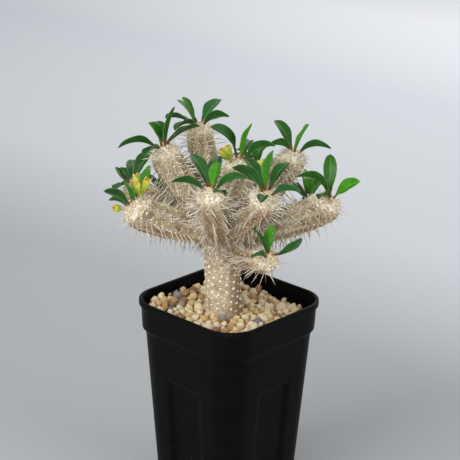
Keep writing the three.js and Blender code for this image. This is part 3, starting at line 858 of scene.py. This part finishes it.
spines, cushions = Bristles(), Bristles()
for limb in clubs.values():
    skin_gap = limb["radius"] * 1.45
    for row in range(ROWS_ROUND_CLUB):
        for origin, side, way, share in row_spots(limb, row, SPINE_STEP):
            found = spot_on_skin(origin, side, skin_gap)
            if not found or chance.random() < MISSING_SPINES:
                continue
            here, normal = found
            if here.z < mix_level + BARE_FOOT:
                continue
            young = max(0, share - 0.85) / 0.15
            down = max(0, -normal.z)
            length = SPINE_LENGTH * chance.uniform(0.7, 1.2) * (0.6 if share > 1.03 else 1)
            length *= 1 - 0.35 * max(0, normal.z)
            sweep = way * chance.uniform(-0.42, -0.14) - Vector((0, 0, 0.12))
            lean_way = (normal + sweep * (1 if share < 0.9 else 0.2) + scatter(0.08)).normalized()
            # Spines on the club's underside are darkened as painted shade; their cushions take the
            # same tone.
            tone = 0.92 + 0.15 * min(young, 1) - 0.5 * down + chance.uniform(-0.2, 0.15)
            width = SPINE_ACROSS * chance.uniform(0.75, 1.2) * (1 - 0.4 * down)
            foot = here - normal * 0.25 * MM
            spines.stand(foot, lean_way, (width, width, length), tone, chance.randrange(4))
            wide = chance.uniform(0.9, 1.5) * MM
            cushions.stand(here - normal * 0.1 * MM, normal, (wide, wide, wide * 0.7), tone + 0.05)
            # Nodules: smaller cushions that crowd the skin between this row and the next.
            for _ in range(NODULES):
                turn = chance.uniform(0.15, 0.85) * 2 * math.pi / ROWS_ROUND_CLUB
                slid = origin + way * chance.uniform(-0.5, 0.5) * SPINE_STEP
                found = spot_on_skin(slid, Matrix.Rotation(turn, 3, way) @ side, skin_gap)
                if found and found[0].z > mix_level + BARE_FOOT:
                    here, normal = found
                    wide = chance.uniform(0.7, 1.5) * MM
                    # Nodules on the club's underside are darkened as painted shade.
                    pale = chance.uniform(0.55, 1.1) - 0.5 * max(0, -normal.z)
                    cushions.stand(here - normal * 0.1 * MM, normal, (wide, wide, wide * 0.6), pale)

# A dense crown of old cushions rings each bud, and a short thick bristle stands by every fourth.
for limb in clubs.values():
    point, facing = limb["stations"][-1]
    count = int(CROWN_CUSHIONS * (limb["radius"] / (10 * MM)) ** 2)
    for i in range(count):
        lean = 0.32 + 1.0 * math.sqrt((i + 0.5) / count)
        side = side_of(limb, facing, i * GOLDEN_ANGLE)
        outward = facing * math.cos(lean) + side * math.sin(lean)
        found = spot_on_skin(point, outward, limb["radius"] * 1.45)
        if not found:
            continue
        here, normal = found
        outward = (normal + side * 0.5 + scatter(0.25)).normalized()
        width = SPINE_ACROSS * chance.uniform(0.6, 1.1)
        size = (width, width, chance.uniform(1.8, 4.6) * MM)
        if i % 4 == 0:
            tone = chance.uniform(0.55, 1.1)
            spines.stand(here - normal * 0.2 * MM, outward, size, tone, chance.randrange(4))
        wide = chance.uniform(1.6, 3.0) * MM
        size = (wide, wide * chance.uniform(0.6, 1), wide * 0.8)
        cushions.stand(here, normal, size, chance.uniform(0.45, 1.1))

# The trunk has shed its spines: rows of raised pale scars are left, and a few curled bristles
# by the fork.
for row in range(ROWS_ROUND_TRUNK):
    for i in range(int(SCARRED_RUN / SCAR_STEP)):
        rise = (i + 0.5 * (row % 2) + chance.uniform(-0.16, 0.16)) * SCAR_STEP + 2 * MM
        angle = 2 * math.pi * (row + chance.uniform(-0.12, 0.12)) / ROWS_ROUND_TRUNK
        side = side_of(trunk, trunk_way, angle + ROW_TWIST * rise / SCARRED_RUN)
        found = spot_on_skin(trunk_foot + trunk_way * rise, side, trunk["radius"] * 1.5)
        if not found:
            continue
        here, normal = found
        wide = chance.uniform(1.8, 2.9) * MM
        size = (wide, wide * 0.8, wide * 0.8)
        cushions.stand(here - normal * 0.1 * MM, normal, size, chance.uniform(0.8, 1.15))
        for _ in range(2 if rise > CURLED_ABOVE else 0):
            curl = (normal + scatter(0.45)).normalized()
            size = (SPINE_ACROSS, SPINE_ACROSS, chance.uniform(3.5, 7) * MM)
            spines.stand(here - normal * 0.2 * MM, curl, size, chance.uniform(0.5, 0.95), 3)


def circle(sides, radius):
    """Points round a circle, from its first corner."""
    turns = [2 * math.pi * i / sides for i in range(sides)]
    return [(radius * math.cos(a), radius * math.sin(a)) for a in turns]


def shape_of(name, verts, faces, along):
    """A small shape to be copied many times, told how far up each of its corners lies."""
    mesh = bpy.data.meshes.new(name)
    mesh.from_pydata(verts, [], faces)
    tell(mesh, "along", along)
    mesh.shade_smooth()
    return bpy.data.objects.new(name, mesh)


def bristle_shapes():
    """Four three-sided bristles, one unit long and one across, from straight to curled."""
    shapes = bpy.data.collections.new("bristles")
    for i, curve in enumerate((0.0, 0.9, 1.8, 3.4)):
        verts = []
        for height, radius in ((0.0, 0.5), (0.35, 0.42), (0.7, 0.27)):
            verts += [(x + curve * height**2, y, height) for x, y in circle(3, radius)]
        verts.append((curve, 0, 1 - 0.06 * curve))
        faces = [(2, 1, 0)]
        for level in (0, 3):
            for corner in range(3):
                a, b = level + corner, level + (corner + 1) % 3
                faces.append((a, b, b + 3, a + 3))
        faces += [(6, 7, 9), (7, 8, 9), (8, 6, 9)]
        along = [v[2] for v in verts[:9]] + [1.0]
        shapes.objects.link(shape_of(f"bristle_{i}", verts, faces, along))
    return shapes


def cushion_shapes():
    """One low five-sided dome, one unit across, that every cushion and scar is a copy of."""
    shapes = bpy.data.collections.new("cushions")
    verts = [(x, y, -0.3) for x, y in circle(5, 0.5)]
    verts += [(x, y, 0.22) for x, y in circle(5, 0.42)] + [(0, 0, 0.42)]
    faces = [(4, 3, 2, 1, 0)]
    faces += [(a, (a + 1) % 5, (a + 1) % 5 + 5, a + 5) for a in range(5)]
    faces += [(5 + a, 5 + (a + 1) % 5, 10) for a in range(5)]
    shapes.objects.link(shape_of("cushion", verts, faces, [max(0, v[2]) for v in verts]))
    return shapes


# The tree that stands a shape on each point, by the turn, size and kind that the point carries.
stand, given, out = new_tree("stand on skin", [("Shapes", "Collection"), ("Finish", "Material")])
turn, size, kind = [
    add(stand, "GeometryNodeInputNamedAttribute", {"Name": name}, data_type=data)
    for name, data in (("turn", "FLOAT_VECTOR"), ("size", "FLOAT_VECTOR"), ("kind", "INT"))
]
turned = add(stand, "FunctionNodeEulerToRotation", {0: turn})
stood = copies_on(stand, given["Geometry"], given["Shapes"], kind, turned, size)
made_real(stand, stood, given["Finish"], out)

# Dead horn-like bristle: hard and slightly glossy, pale cream, grey-brown with age, and darker
# beneath the clubs as painted shade.
horn, tree, shader = material_tree("spine_horn_satin")
tone = add(tree, "ShaderNodeAttribute", attribute_name="tone").outputs["Fac"]
along = add(tree, "ShaderNodeAttribute", attribute_name="along").outputs["Fac"]
horn_colours = [(0.05, "#6a5c50"), (0.35, "#a08c76"), (0.62, "#dfd2bc"), (1.0, "#f8f0e0")]
horn_colour = add(tree, "ShaderNodeValToRGB", {"Fac": tone}, horn_colours)
darker = add(tree, "ShaderNodeMapRange", {"Value": along, "To Min": 1.0, "To Max": 0.84})
shaded = mixed(tree, 1.0, horn_colour, darker, kind="MULTIPLY")
feed(shader, {"Base Color": shaded, "Roughness": 0.5})

# Corky cushion: matt cream with tan and brown ones among them, darker beneath the clubs as painted
# shade.
cork, tree, shader = material_tree("spine_cushion_cork_matt")
tone = add(tree, "ShaderNodeAttribute", attribute_name="tone").outputs["Fac"]
cork_colours = [(0.15, "#8c6742"), (0.4, "#c2a67c"), (0.7, "#e2d5b8"), (1.0, "#f6efe0")]
cork_colour = add(tree, "ShaderNodeValToRGB", {"Fac": tone}, cork_colours)
feed(shader, {"Base Color": cork_colour, "Roughness": 0.9})

for name, bristles, kinds, finish in (
    ("spines", spines, bristle_shapes(), horn),
    ("spine_cushions", cushions, cushion_shapes(), cork),
):
    grown_mesh = grown(bristles.mesh(), stand, {"Shapes": kinds, "Finish": finish})
    finished(name, grown_mesh, ["stem"], finish)

# ---------------------------------------------------------------------------
# Leaves
# Each club ends in a rosette of leathery lance-shaped leaves, folded a little
# along a pale midrib: deep glossy green when grown, lime while they are young,
# and brighter where painted light shines through them.
# ---------------------------------------------------------------------------

BLADE_THICKNESS = 0.75 * MM
MARGIN_THICKNESS = 0.32 * MM
RIB_GROOVE = 0.16 * MM
RIB_KEEL = 0.22 * MM
BLADE_FULLER = 1.14
BLADE_RIPPLE = 0.22 * MM
ACROSS = [-1, -0.93, -0.72, -0.45, -0.2, -0.07, 0, 0.07, 0.2, 0.45, 0.72, 0.93, 1]
CAD_SHARES = [0, 0.04, 0.16, 0.36, 0.56, 0.76, 0.92, 1]
FINE_SHARES = [0, 0.02, 0.05, 0.09, 0.14, 0.2, 0.26, 0.32, 0.39, 0.46, 0.53, 0.6, 0.67, 0.74]
FINE_SHARES += [0.8, 0.855, 0.9, 0.94, 0.97, 0.99]
REAR_ARCH = 0.12
REAR_HALF = 4.2 * MM
REAR_OUTLINE = [0.28, 0.28, 0.42, 0.8, 1, 0.86, 0.44, 0]
BUD_LENGTH = 7 * MM
BUD_HALF = 1.6 * MM
BUD_OUTLINE = [0.9, 0.9, 1, 1, 0.9, 0.7, 0.4, 0]

# How young each leaf is (lime, brightened as painted light shining through) and how much
# painted sheen (blue-green) it has, from 0 to 1; the rest are grown and deep green.
YOUNG_AND_BACKLIT = {
    "front_centre_3": 0.95,
    "front_right_3": 0.55,
    "centre_top_2": 0.9,
    "right_back_3": 0.9,
    "right_3": 0.75,
    "right_2": 0.3,
    "low_right_2": 0.9,
    "left_mid_3": 0.4,
    "back_left_1": 0.5,
    "back_left_2": 0.35,
    "left_low_3": 0.7,
    "left_low_2": 0.4,
    "left_back_1": 0.3,
}
# The blue-green tint is painted sheen off the waxy cuticle.
BLUE_SHEEN = {
    "back_left_5": 0.9,
    "left_back_3": 0.8,
    "front_right_5": 0.7,
    "front_right_2": 0.4,
    "front_centre_5": 0.6,
    "right_back_4": 0.6,
    "centre_top_3": 0.5,
    "front_right_3": 0.4,
    "left_mid_6": 0.4,
}


def through(shares, values, at):
    """A smooth curve through values at their shares of a length."""
    shares, values = np.array(shares, float), np.array(values, float)
    slopes = np.gradient(values, shares, axis=0)
    cell = np.clip(np.searchsorted(shares, at, side="right") - 1, 0, len(shares) - 2)
    width = shares[cell + 1] - shares[cell]
    t = (np.array(at) - shares[cell]) / width
    if values.ndim > 1:
        t, width = t[:, None], width[:, None]
    return (
        (1 + 2 * t) * (1 - t) ** 2 * values[cell]
        + t * (1 - t) ** 2 * width * slopes[cell]
        + t * t * (3 - 2 * t) * values[cell + 1]
        + t * t * (t - 1) * width * slopes[cell + 1]
    )


def unit(vectors):
    return vectors / np.linalg.norm(vectors, axis=-1, keepdims=True)


class Blades:
    """Blades collected into one mesh, with what their material reads at each vertex."""

    def __init__(self):
        self.verts, self.faces = [], []
        self.told = {"across": [], "along": [], "young": [], "blue": []}

    def blade(self, ribs, sides, rises, halves, young, blue, fold=0.52):
        """A blade from its rib line, sideways and upward ways, and half widths at the CAD shares."""
        at = FINE_SHARES
        rib = through(CAD_SHARES, ribs, at)
        side = unit(through(CAD_SHARES, sides, at))
        rise = unit(through(CAD_SHARES, rises, at))
        half = np.maximum(through(CAD_SHARES, halves, at), 0.15 * MM)
        phase = chance.uniform(0, 6.28)
        first = len(self.verts)
        ring_size = 2 * len(ACROSS) - 2
        for i, share in enumerate(at):
            for upper, columns in ((1, ACROSS), (0, ACROSS[-2:0:-1])):
                for across in columns:
                    edge = abs(across)
                    thick = lerp(BLADE_THICKNESS, MARGIN_THICKNESS, edge) * (0 if edge == 1 else 1)
                    thick *= min(1, 0.35 + 3 * half[i] / (2 * MM) * 0.3)
                    bend = fold * half[i] * edge**1.35
                    wave = math.sin(share * 15 + phase + (0 if across > 0 else 2))
                    ripple = BLADE_RIPPLE * wave * edge**2
                    level = bend + ripple * min(1, half[i] / (2.5 * MM))
                    middle = math.exp(-((across / 0.09) ** 2))
                    level += thick / 2 if upper else -thick / 2
                    level -= (RIB_GROOVE if upper else RIB_KEEL) * middle
                    spot = rib[i] + side[i] * (across * half[i]) + rise[i] * level
                    self.point(spot, across, share, young, blue)
        for i in range(len(at) - 1):
            for j in range(ring_size):
                k = (j + 1) % ring_size
                low, high = first + i * ring_size, first + (i + 1) * ring_size
                self.faces.append((low + j, low + k, high + k, high + j))
        self.faces.append(tuple(first + j for j in reversed(range(ring_size))))
        self.point(np.array(ribs[-1]), 0, 1, young, blue)
        last = first + (len(at) - 1) * ring_size
        for j in range(ring_size):
            self.faces.append((last + j, last + (j + 1) % ring_size, len(self.verts) - 1))

    def point(self, spot, across, along, young, blue):
        self.verts.append(tuple(spot))
        for values, value in zip(self.told.values(), (across, along, young, blue)):
            values.append(value)

    def mesh(self):
        made = bpy.data.meshes.new("blades")
        made.from_pydata(self.verts, [], self.faces)
        bm = bmesh.new()
        bm.from_mesh(made)
        bmesh.ops.recalc_face_normals(bm, faces=bm.faces)
        bm.to_mesh(made)
        bm.free()
        for name, values in self.told.items():
            tell(made, name, np.array(values))
        return made


def cad_blade(node):
    """Rib line, sideways and upward ways and half widths of a CAD leaf, from its foot to its tip."""
    base, rings = read_leaf(node)
    tip = rings.pop()[0]
    ribs, sides, rises, halves = [], [], [], []
    for ring in rings:
        pairs = [(a, b) for i, a in enumerate(ring) for b in ring[i + 1 :]]
        a, b = max(pairs, key=lambda pair: (pair[0] - pair[1]).length)
        rib = sum((p for p in ring if p not in (a, b)), Vector()) / 2
        side = (a - b).normalized()
        if sides and side.dot(sides[-1]) < 0:
            side = -side
        ribs.append(rib)
        sides.append(side)
        rises.append(((a + b) / 2 - rib).normalized())
        halves.append((a - b).length / 2 * BLADE_FULLER)
    ribs = [base, *ribs, tip]
    sides = [sides[0], *sides, sides[-1]]
    rises = [rises[0], *rises, rises[-1]]
    halves = [halves[0] * 0.8, *halves, 0]
    return ribs, sides, rises, halves


# Leaf: a waxy cuticle over deep green, so a broad soft shine, with painted sheen in blue-green on
# some leaves and young leaves lime, brightened as painted light shining through; the midrib and a
# hairline margin are paler, side veins show faintly, and the short stalk is reddish brown.
leaf_skin, tree, shader = material_tree("leaf_waxy_satin")
place = add(tree, "ShaderNodeTexCoord").outputs["Object"]
told = {
    name: add(tree, "ShaderNodeAttribute", attribute_name=name).outputs["Fac"]
    for name in ("across", "along", "young", "blue")
}
cloud = add(tree, "ShaderNodeTexNoise", {"Vector": place, "Scale": PER_MM / 6, "Detail": 3})
deep, sheen_blue_green, lime = [
    add(tree, "ShaderNodeValToRGB", {"Fac": cloud}, [(0.3, dark), (0.7, pale)])
    for dark, pale in (("#093605", "#15500d"), ("#194e22", "#296a30"), ("#3a8a0c", "#58a518"))
]
from_middle = add(tree, "ShaderNodeMath", {0: told["across"]}, operation="ABSOLUTE")
midrib = add(tree, "ShaderNodeValToRGB", {"Fac": from_middle}, [(0.03, 1.0), (0.13, 0.0)])
vein_inputs = {0: from_middle, 1: -0.35, 2: told["along"]}
vein_way = add(tree, "ShaderNodeMath", vein_inputs, operation="MULTIPLY_ADD")
vein_wave = add(tree, "ShaderNodeMath", {0: vein_way, 1: 95.0}, operation="MULTIPLY")
veins = add(tree, "ShaderNodeMath", {0: vein_wave}, operation="SINE")
vein_share = add(tree, "ShaderNodeMapRange", {"Value": veins, "From Min": 0.5, "From Max": 1.0})
margin = add(tree, "ShaderNodeValToRGB", {"Fac": from_middle}, [(0.93, 0.0), (0.985, 1.0)])
stalk = add(tree, "ShaderNodeValToRGB", {"Fac": told["along"]}, [(0.05, 1.0), (0.19, 0.0)])
colour = deep
for share, laid, most in (
    (told["blue"], sheen_blue_green, 1.0),
    (told["young"], lime, 1.0),
    (midrib, linear("#8fb872"), 0.26),
    (vein_share, linear("#6fa65a"), 0.13),
    (margin, linear("#c3cf96"), 0.32),
    (stalk, linear("#7a4426"), 0.8),
):
    colour = mixed(tree, share, colour, laid, most)
vein_depth = {"Height": vein_share, "Strength": 0.25, "Distance": 0.2 * MM}
vein_bump = add(tree, "ShaderNodeBump", vein_depth)
skin_depth = {"Height": cloud, "Strength": 0.3, "Distance": 0.6 * MM, "Normal": vein_bump}
skin_bump = add(tree, "ShaderNodeBump", skin_depth)
feed(shader, {"Base Color": colour, "Normal": skin_bump})
feed(shader, {"Roughness": 0.38, "IOR": 1.42, "Specular IOR Level": 0.4})

for node in sorted(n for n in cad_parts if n.startswith("leaf_")):
    blades = Blades()
    label = node[5:]
    young = YOUNG_AND_BACKLIT.get(label, chance.uniform(0, 0.12))
    blades.blade(*cad_blade(node), young, BLUE_SHEEN.get(label, chance.uniform(0, 0.25)))
    finished("fine_" + node, blades.mesh(), [node], leaf_skin)

# The shoots at the back end in one small rosette each: arched leaves that follow the CAD leaf
# tips, round a bud of five young ones.
for node in sorted(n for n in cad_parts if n.startswith("rosette_")):
    corners = corners_of(node)
    limb = clubs[node]
    facing = limb["stations"][-1][1]
    heart = limb["tip"] + facing * 3.3 * MM
    ends = []
    for corner in sorted(corners, key=lambda p: -(p - heart).length):
        apart = all((corner - end).length > 5 * MM for end in ends)
        if (corner - heart).length > 20 * MM and apart:
            ends.append(corner)
    blades = Blades()
    for end in ends:
        way = (end - heart).normalized()
        side = Vector((-way.y, way.x, 0)).normalized()
        above_way = way.cross(side)
        if above_way.z < 0:
            side, above_way = -side, -above_way
        bend = (heart + end) / 2 + above_way * 2 * REAR_ARCH * (end - heart).length
        arch = [arched(heart, bend, end, share) for share in CAD_SHARES]
        rises = [run.cross(side) for _, run in arch]
        rises = [rise if rise.dot(above_way) > 0 else -rise for rise in rises]
        halves = [share * REAR_HALF for share in REAR_OUTLINE]
        # Upright leaves are young and lime, brightened as painted light shining through.
        young = 0.8 if way.z > 0.75 else chance.uniform(0, 0.2)
        # A little blue-green as painted sheen.
        blue = chance.uniform(0, 0.5)
        blades.blade([point for point, _ in arch], [side] * len(arch), rises, halves, young, blue)
    for i in range(5):
        way = Euler((chance.uniform(0.2, 0.5), 0, i * 2.4)).to_matrix() @ facing
        start = limb["tip"] - facing * 0.5 * MM
        side = way.cross(Vector((0.3, 0.7, 0.1))).normalized()
        ribs = [start.lerp(start + way * BUD_LENGTH, share) for share in CAD_SHARES]
        halves = [share * BUD_HALF for share in BUD_OUTLINE]
        blades.blade(ribs, [side] * len(ribs), [way.cross(side)] * len(ribs), halves, 0.9, 0)
    finished("fine_" + node, blades.mesh(), [node], leaf_skin)

# ---------------------------------------------------------------------------
# Flowers
# Small cyathia on short stalks among the upper leaves: a lime-yellow cup held by
# two rounded bracts, with orange-tan glands and stamens at its mouth.
# ---------------------------------------------------------------------------

CUP_RADIUS = 1.9 * MM
STALK_RADIUS = 0.6 * MM
BRACT_HALF = 3.0 * MM
BRACT_OUTLINE = [0.25, 0.45, 0.8, 1.0, 0.96, 0.75, 0.42, 0]
GLAND = 0.7 * MM


def cyathia_of(node):
    """The spot that a cluster springs from, and the end of each cyathium."""
    corners = corners_of(node)
    seat = nearest_stem(corners)
    ends = []
    for corner in sorted(corners, key=lambda p: -(p - seat).length):
        reach = (corner - seat).length
        if reach > 8.5 * MM and all((corner - end).length > 3.4 * MM for end in ends):
            near = [p for p in corners if (p - corner).length < 3 * MM]
            if not any((p - seat).length > reach for p in near):
                ends.append(corner)
    return seat, ends


class Petals(Blades):
    """Blades with the rest of a flower among them; blue stands for how orange a piece is."""

    def turned(self, start, way, outline, orange):
        """A round piece along a line, from its outline of (radius, distance along)."""
        side = way.cross(Vector((0.31, 0.52, 0.79))).normalized()
        other = way.cross(side)
        first, sides = len(self.verts), 10
        for radius, distance in outline:
            for j in range(sides):
                a = 2 * math.pi * j / sides
                spot = start + way * distance + (side * math.cos(a) + other * math.sin(a)) * radius
                self.point(spot, 0.5, 0.5, 1, orange)
        for i in range(len(outline) - 1):
            for j in range(sides):
                low, high, k = first + i * sides, first + (i + 1) * sides, (j + 1) % sides
                self.faces.append((low + j, low + k, high + k, high + j))
        self.faces.append(tuple(first + j for j in reversed(range(sides))))
        self.faces.append(tuple(first + (len(outline) - 1) * sides + j for j in range(sides)))

    def knob(self, middle, radius, orange):
        """A small ball."""
        bm = bmesh.new()
        bmesh.ops.create_icosphere(bm, subdivisions=1, radius=radius)
        first = len(self.verts)
        for vert in bm.verts:
            self.point(middle + vert.co, 0.5, 0.5, 1, orange)
        self.faces += [tuple(first + v.index for v in f.verts) for f in bm.faces]
        bm.free()


# Bract and cup: thin, soft and slightly waxy, lime-yellow, greener at the foot; glands orange-tan.
petal_skin, tree, shader = material_tree("flower_bract_soft_waxy")
place = add(tree, "ShaderNodeTexCoord").outputs["Object"]
along = add(tree, "ShaderNodeAttribute", attribute_name="along").outputs["Fac"]
orange = add(tree, "ShaderNodeAttribute", attribute_name="blue").outputs["Fac"]
cloud = add(tree, "ShaderNodeTexNoise", {"Vector": place, "Scale": PER_MM / 2.5, "Detail": 3})
bract_colours = [(0.0, "#8fae2c"), (0.45, "#b3c534"), (0.85, "#cdd256"), (1.0, "#d8b556")]
bract_colour = add(tree, "ShaderNodeValToRGB", {"Fac": along}, bract_colours)
gland_colours = [(0.35, "#b5772c"), (0.65, "#e6b45c")]
gland_colour = add(tree, "ShaderNodeValToRGB", {"Fac": cloud}, gland_colours)
colour = mixed(tree, orange, bract_colour, gland_colour)
petal_bump = add(tree, "ShaderNodeBump", {"Height": cloud, "Strength": 0.3, "Distance": 0.4 * MM})
feed(shader, {"Base Color": colour, "Normal": petal_bump, "Roughness": 0.5})

for node in sorted(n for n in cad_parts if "flower" in n):
    seat, ends = cyathia_of(node)
    petals = Petals()
    for end in ends:
        way = (end - seat).normalized()
        length = (end - seat).length
        cup = length * 0.26
        mouth = length * 0.86
        side = way.cross(Vector((0.2, 0.4, 0.9))).normalized()
        side = Matrix.Rotation(chance.uniform(0, 3.1), 3, way) @ side
        other = way.cross(side)
        stalk = [(STALK_RADIUS, 0), (STALK_RADIUS, cup * 0.9), (STALK_RADIUS * 1.5, cup)]
        petals.turned(seat, way, stalk, 0.0)
        outline = [
            (STALK_RADIUS, cup * 0.95),
            (CUP_RADIUS * 0.75, lerp(cup, mouth, 0.25)),
            (CUP_RADIUS, lerp(cup, mouth, 0.6)),
            (CUP_RADIUS * 0.85, mouth),
        ]
        petals.turned(seat, way, outline, 0.15)
        for out_way in (-side, side):
            start = seat + way * cup
            tip = seat + way * length * 0.97 + out_way * 1.6 * MM
            belly = (start + tip) / 2 + out_way * 2.4 * MM
            arch = [arched(start, belly, tip, share) for share in CAD_SHARES]
            rises = [run.cross(other) for _, run in arch]
            rises = [rise if rise.dot(out_way) < 0 else -rise for rise in rises]
            halves = [BRACT_HALF * share for share in BRACT_OUTLINE]
            ribs = [point for point, _ in arch]
            petals.blade(ribs, [other] * len(ribs), rises, halves, 1, 0.0, fold=0.75)
        for k in range(5):
            a = 2 * math.pi * (k + 0.3) / 5
            out_way = side * math.cos(a) + other * math.sin(a)
            spot = seat + way * (mouth + 0.2 * MM) + out_way * CUP_RADIUS * 0.95
            petals.knob(spot, GLAND, 1.0)
        for k in range(4):
            spot = seat + way * (mouth + chance.uniform(0.6, 1.3) * MM) + scatter(0.45 * MM)
            petals.knob(spot, GLAND * 0.6, 0.85)
    finished("fine_" + node, petals.mesh(), [node], petal_skin)

# ---------------------------------------------------------------------------
# Floor and light
# A plain floor that runs on behind, with painted light and shade on it: greyer towards the front
# left, with a darker band, and pale at the far right; a large soft window from the upper left, and
# weaker low lamps.
# ---------------------------------------------------------------------------

FLOOR_HALF = 6
AIM_HEIGHT = 0.2

floor_mesh = bpy.data.meshes.new("floor")
corners = [(x * FLOOR_HALF, y * FLOOR_HALF, 0) for x, y in ((-1, -1), (1, -1), (1, 1), (-1, 1))]
floor_mesh.from_pydata(corners, [], [(0, 1, 2, 3)])
floor = placed("floor", floor_mesh)
floor_painted_light, tree, shader = material_tree("floor_pale_matt_painted_light")
place = add(tree, "ShaderNodeTexCoord").outputs["Object"]
far_right = level_right * 0.45 - level_back * 0.55
sweep = add(tree, "ShaderNodeVectorMath", {0: place, 1: far_right}, operation="DOT_PRODUCT")
spread_inputs = {"Value": sweep.outputs["Value"], "From Min": -0.6, "From Max": 1.0}
spread = add(tree, "ShaderNodeMapRange", spread_inputs)
# Painted light and shade: the floor greyer towards the front left, darker in a band, and pale far
# right.
painted_light_colours = [
    (0.0, "#d4d6d9"),
    (0.25, "#bcbec0"),
    (0.37, "#a9abac"),
    (0.49, "#adafb1"),
    (0.6, "#cfd2d5"),
    (0.82, "#dadde1"),
    (1.0, "#fbfcfe"),
]
painted_light = add(tree, "ShaderNodeValToRGB", {"Fac": spread}, painted_light_colours)
feed(shader, {"Base Color": painted_light, "Roughness": 0.9})
floor_mesh.materials.append(floor_painted_light)

sky = bpy.data.worlds.new("studio")
sky.use_nodes = True
feed(sky.node_tree.nodes["Background"], {"Color": linear("#eceef2"), "Strength": 0.55})
scene.world = sky
scene.view_settings.view_transform = "Standard"

# name, place from the camera's side (right, towards the camera, up), size, power
for name, (to_right, to_camera, up), width, power in [
    ("window", (-1.1, 0.9, 1.5), 1.1, 20),
    ("front", (-0.4, 1.7, 0.35), 1.0, 12),
    ("fill", (1.5, 0.8, 0.7), 1.4, 9),
    ("rim", (0.5, -1.4, 1.3), 0.9, 9),
]:
    lamp = bpy.data.lights.new(name, "AREA")
    lamp.size = width
    lamp.energy = power
    lamp_object = placed(name, lamp)
    lamp_object.location = level_right * to_right + level_back * to_camera + Vector((0, 0, up))
    aim = Vector((0, 0, AIM_HEIGHT)) - lamp_object.location
    lamp_object.rotation_euler = aim.to_track_quat("-Z", "Y").to_euler()
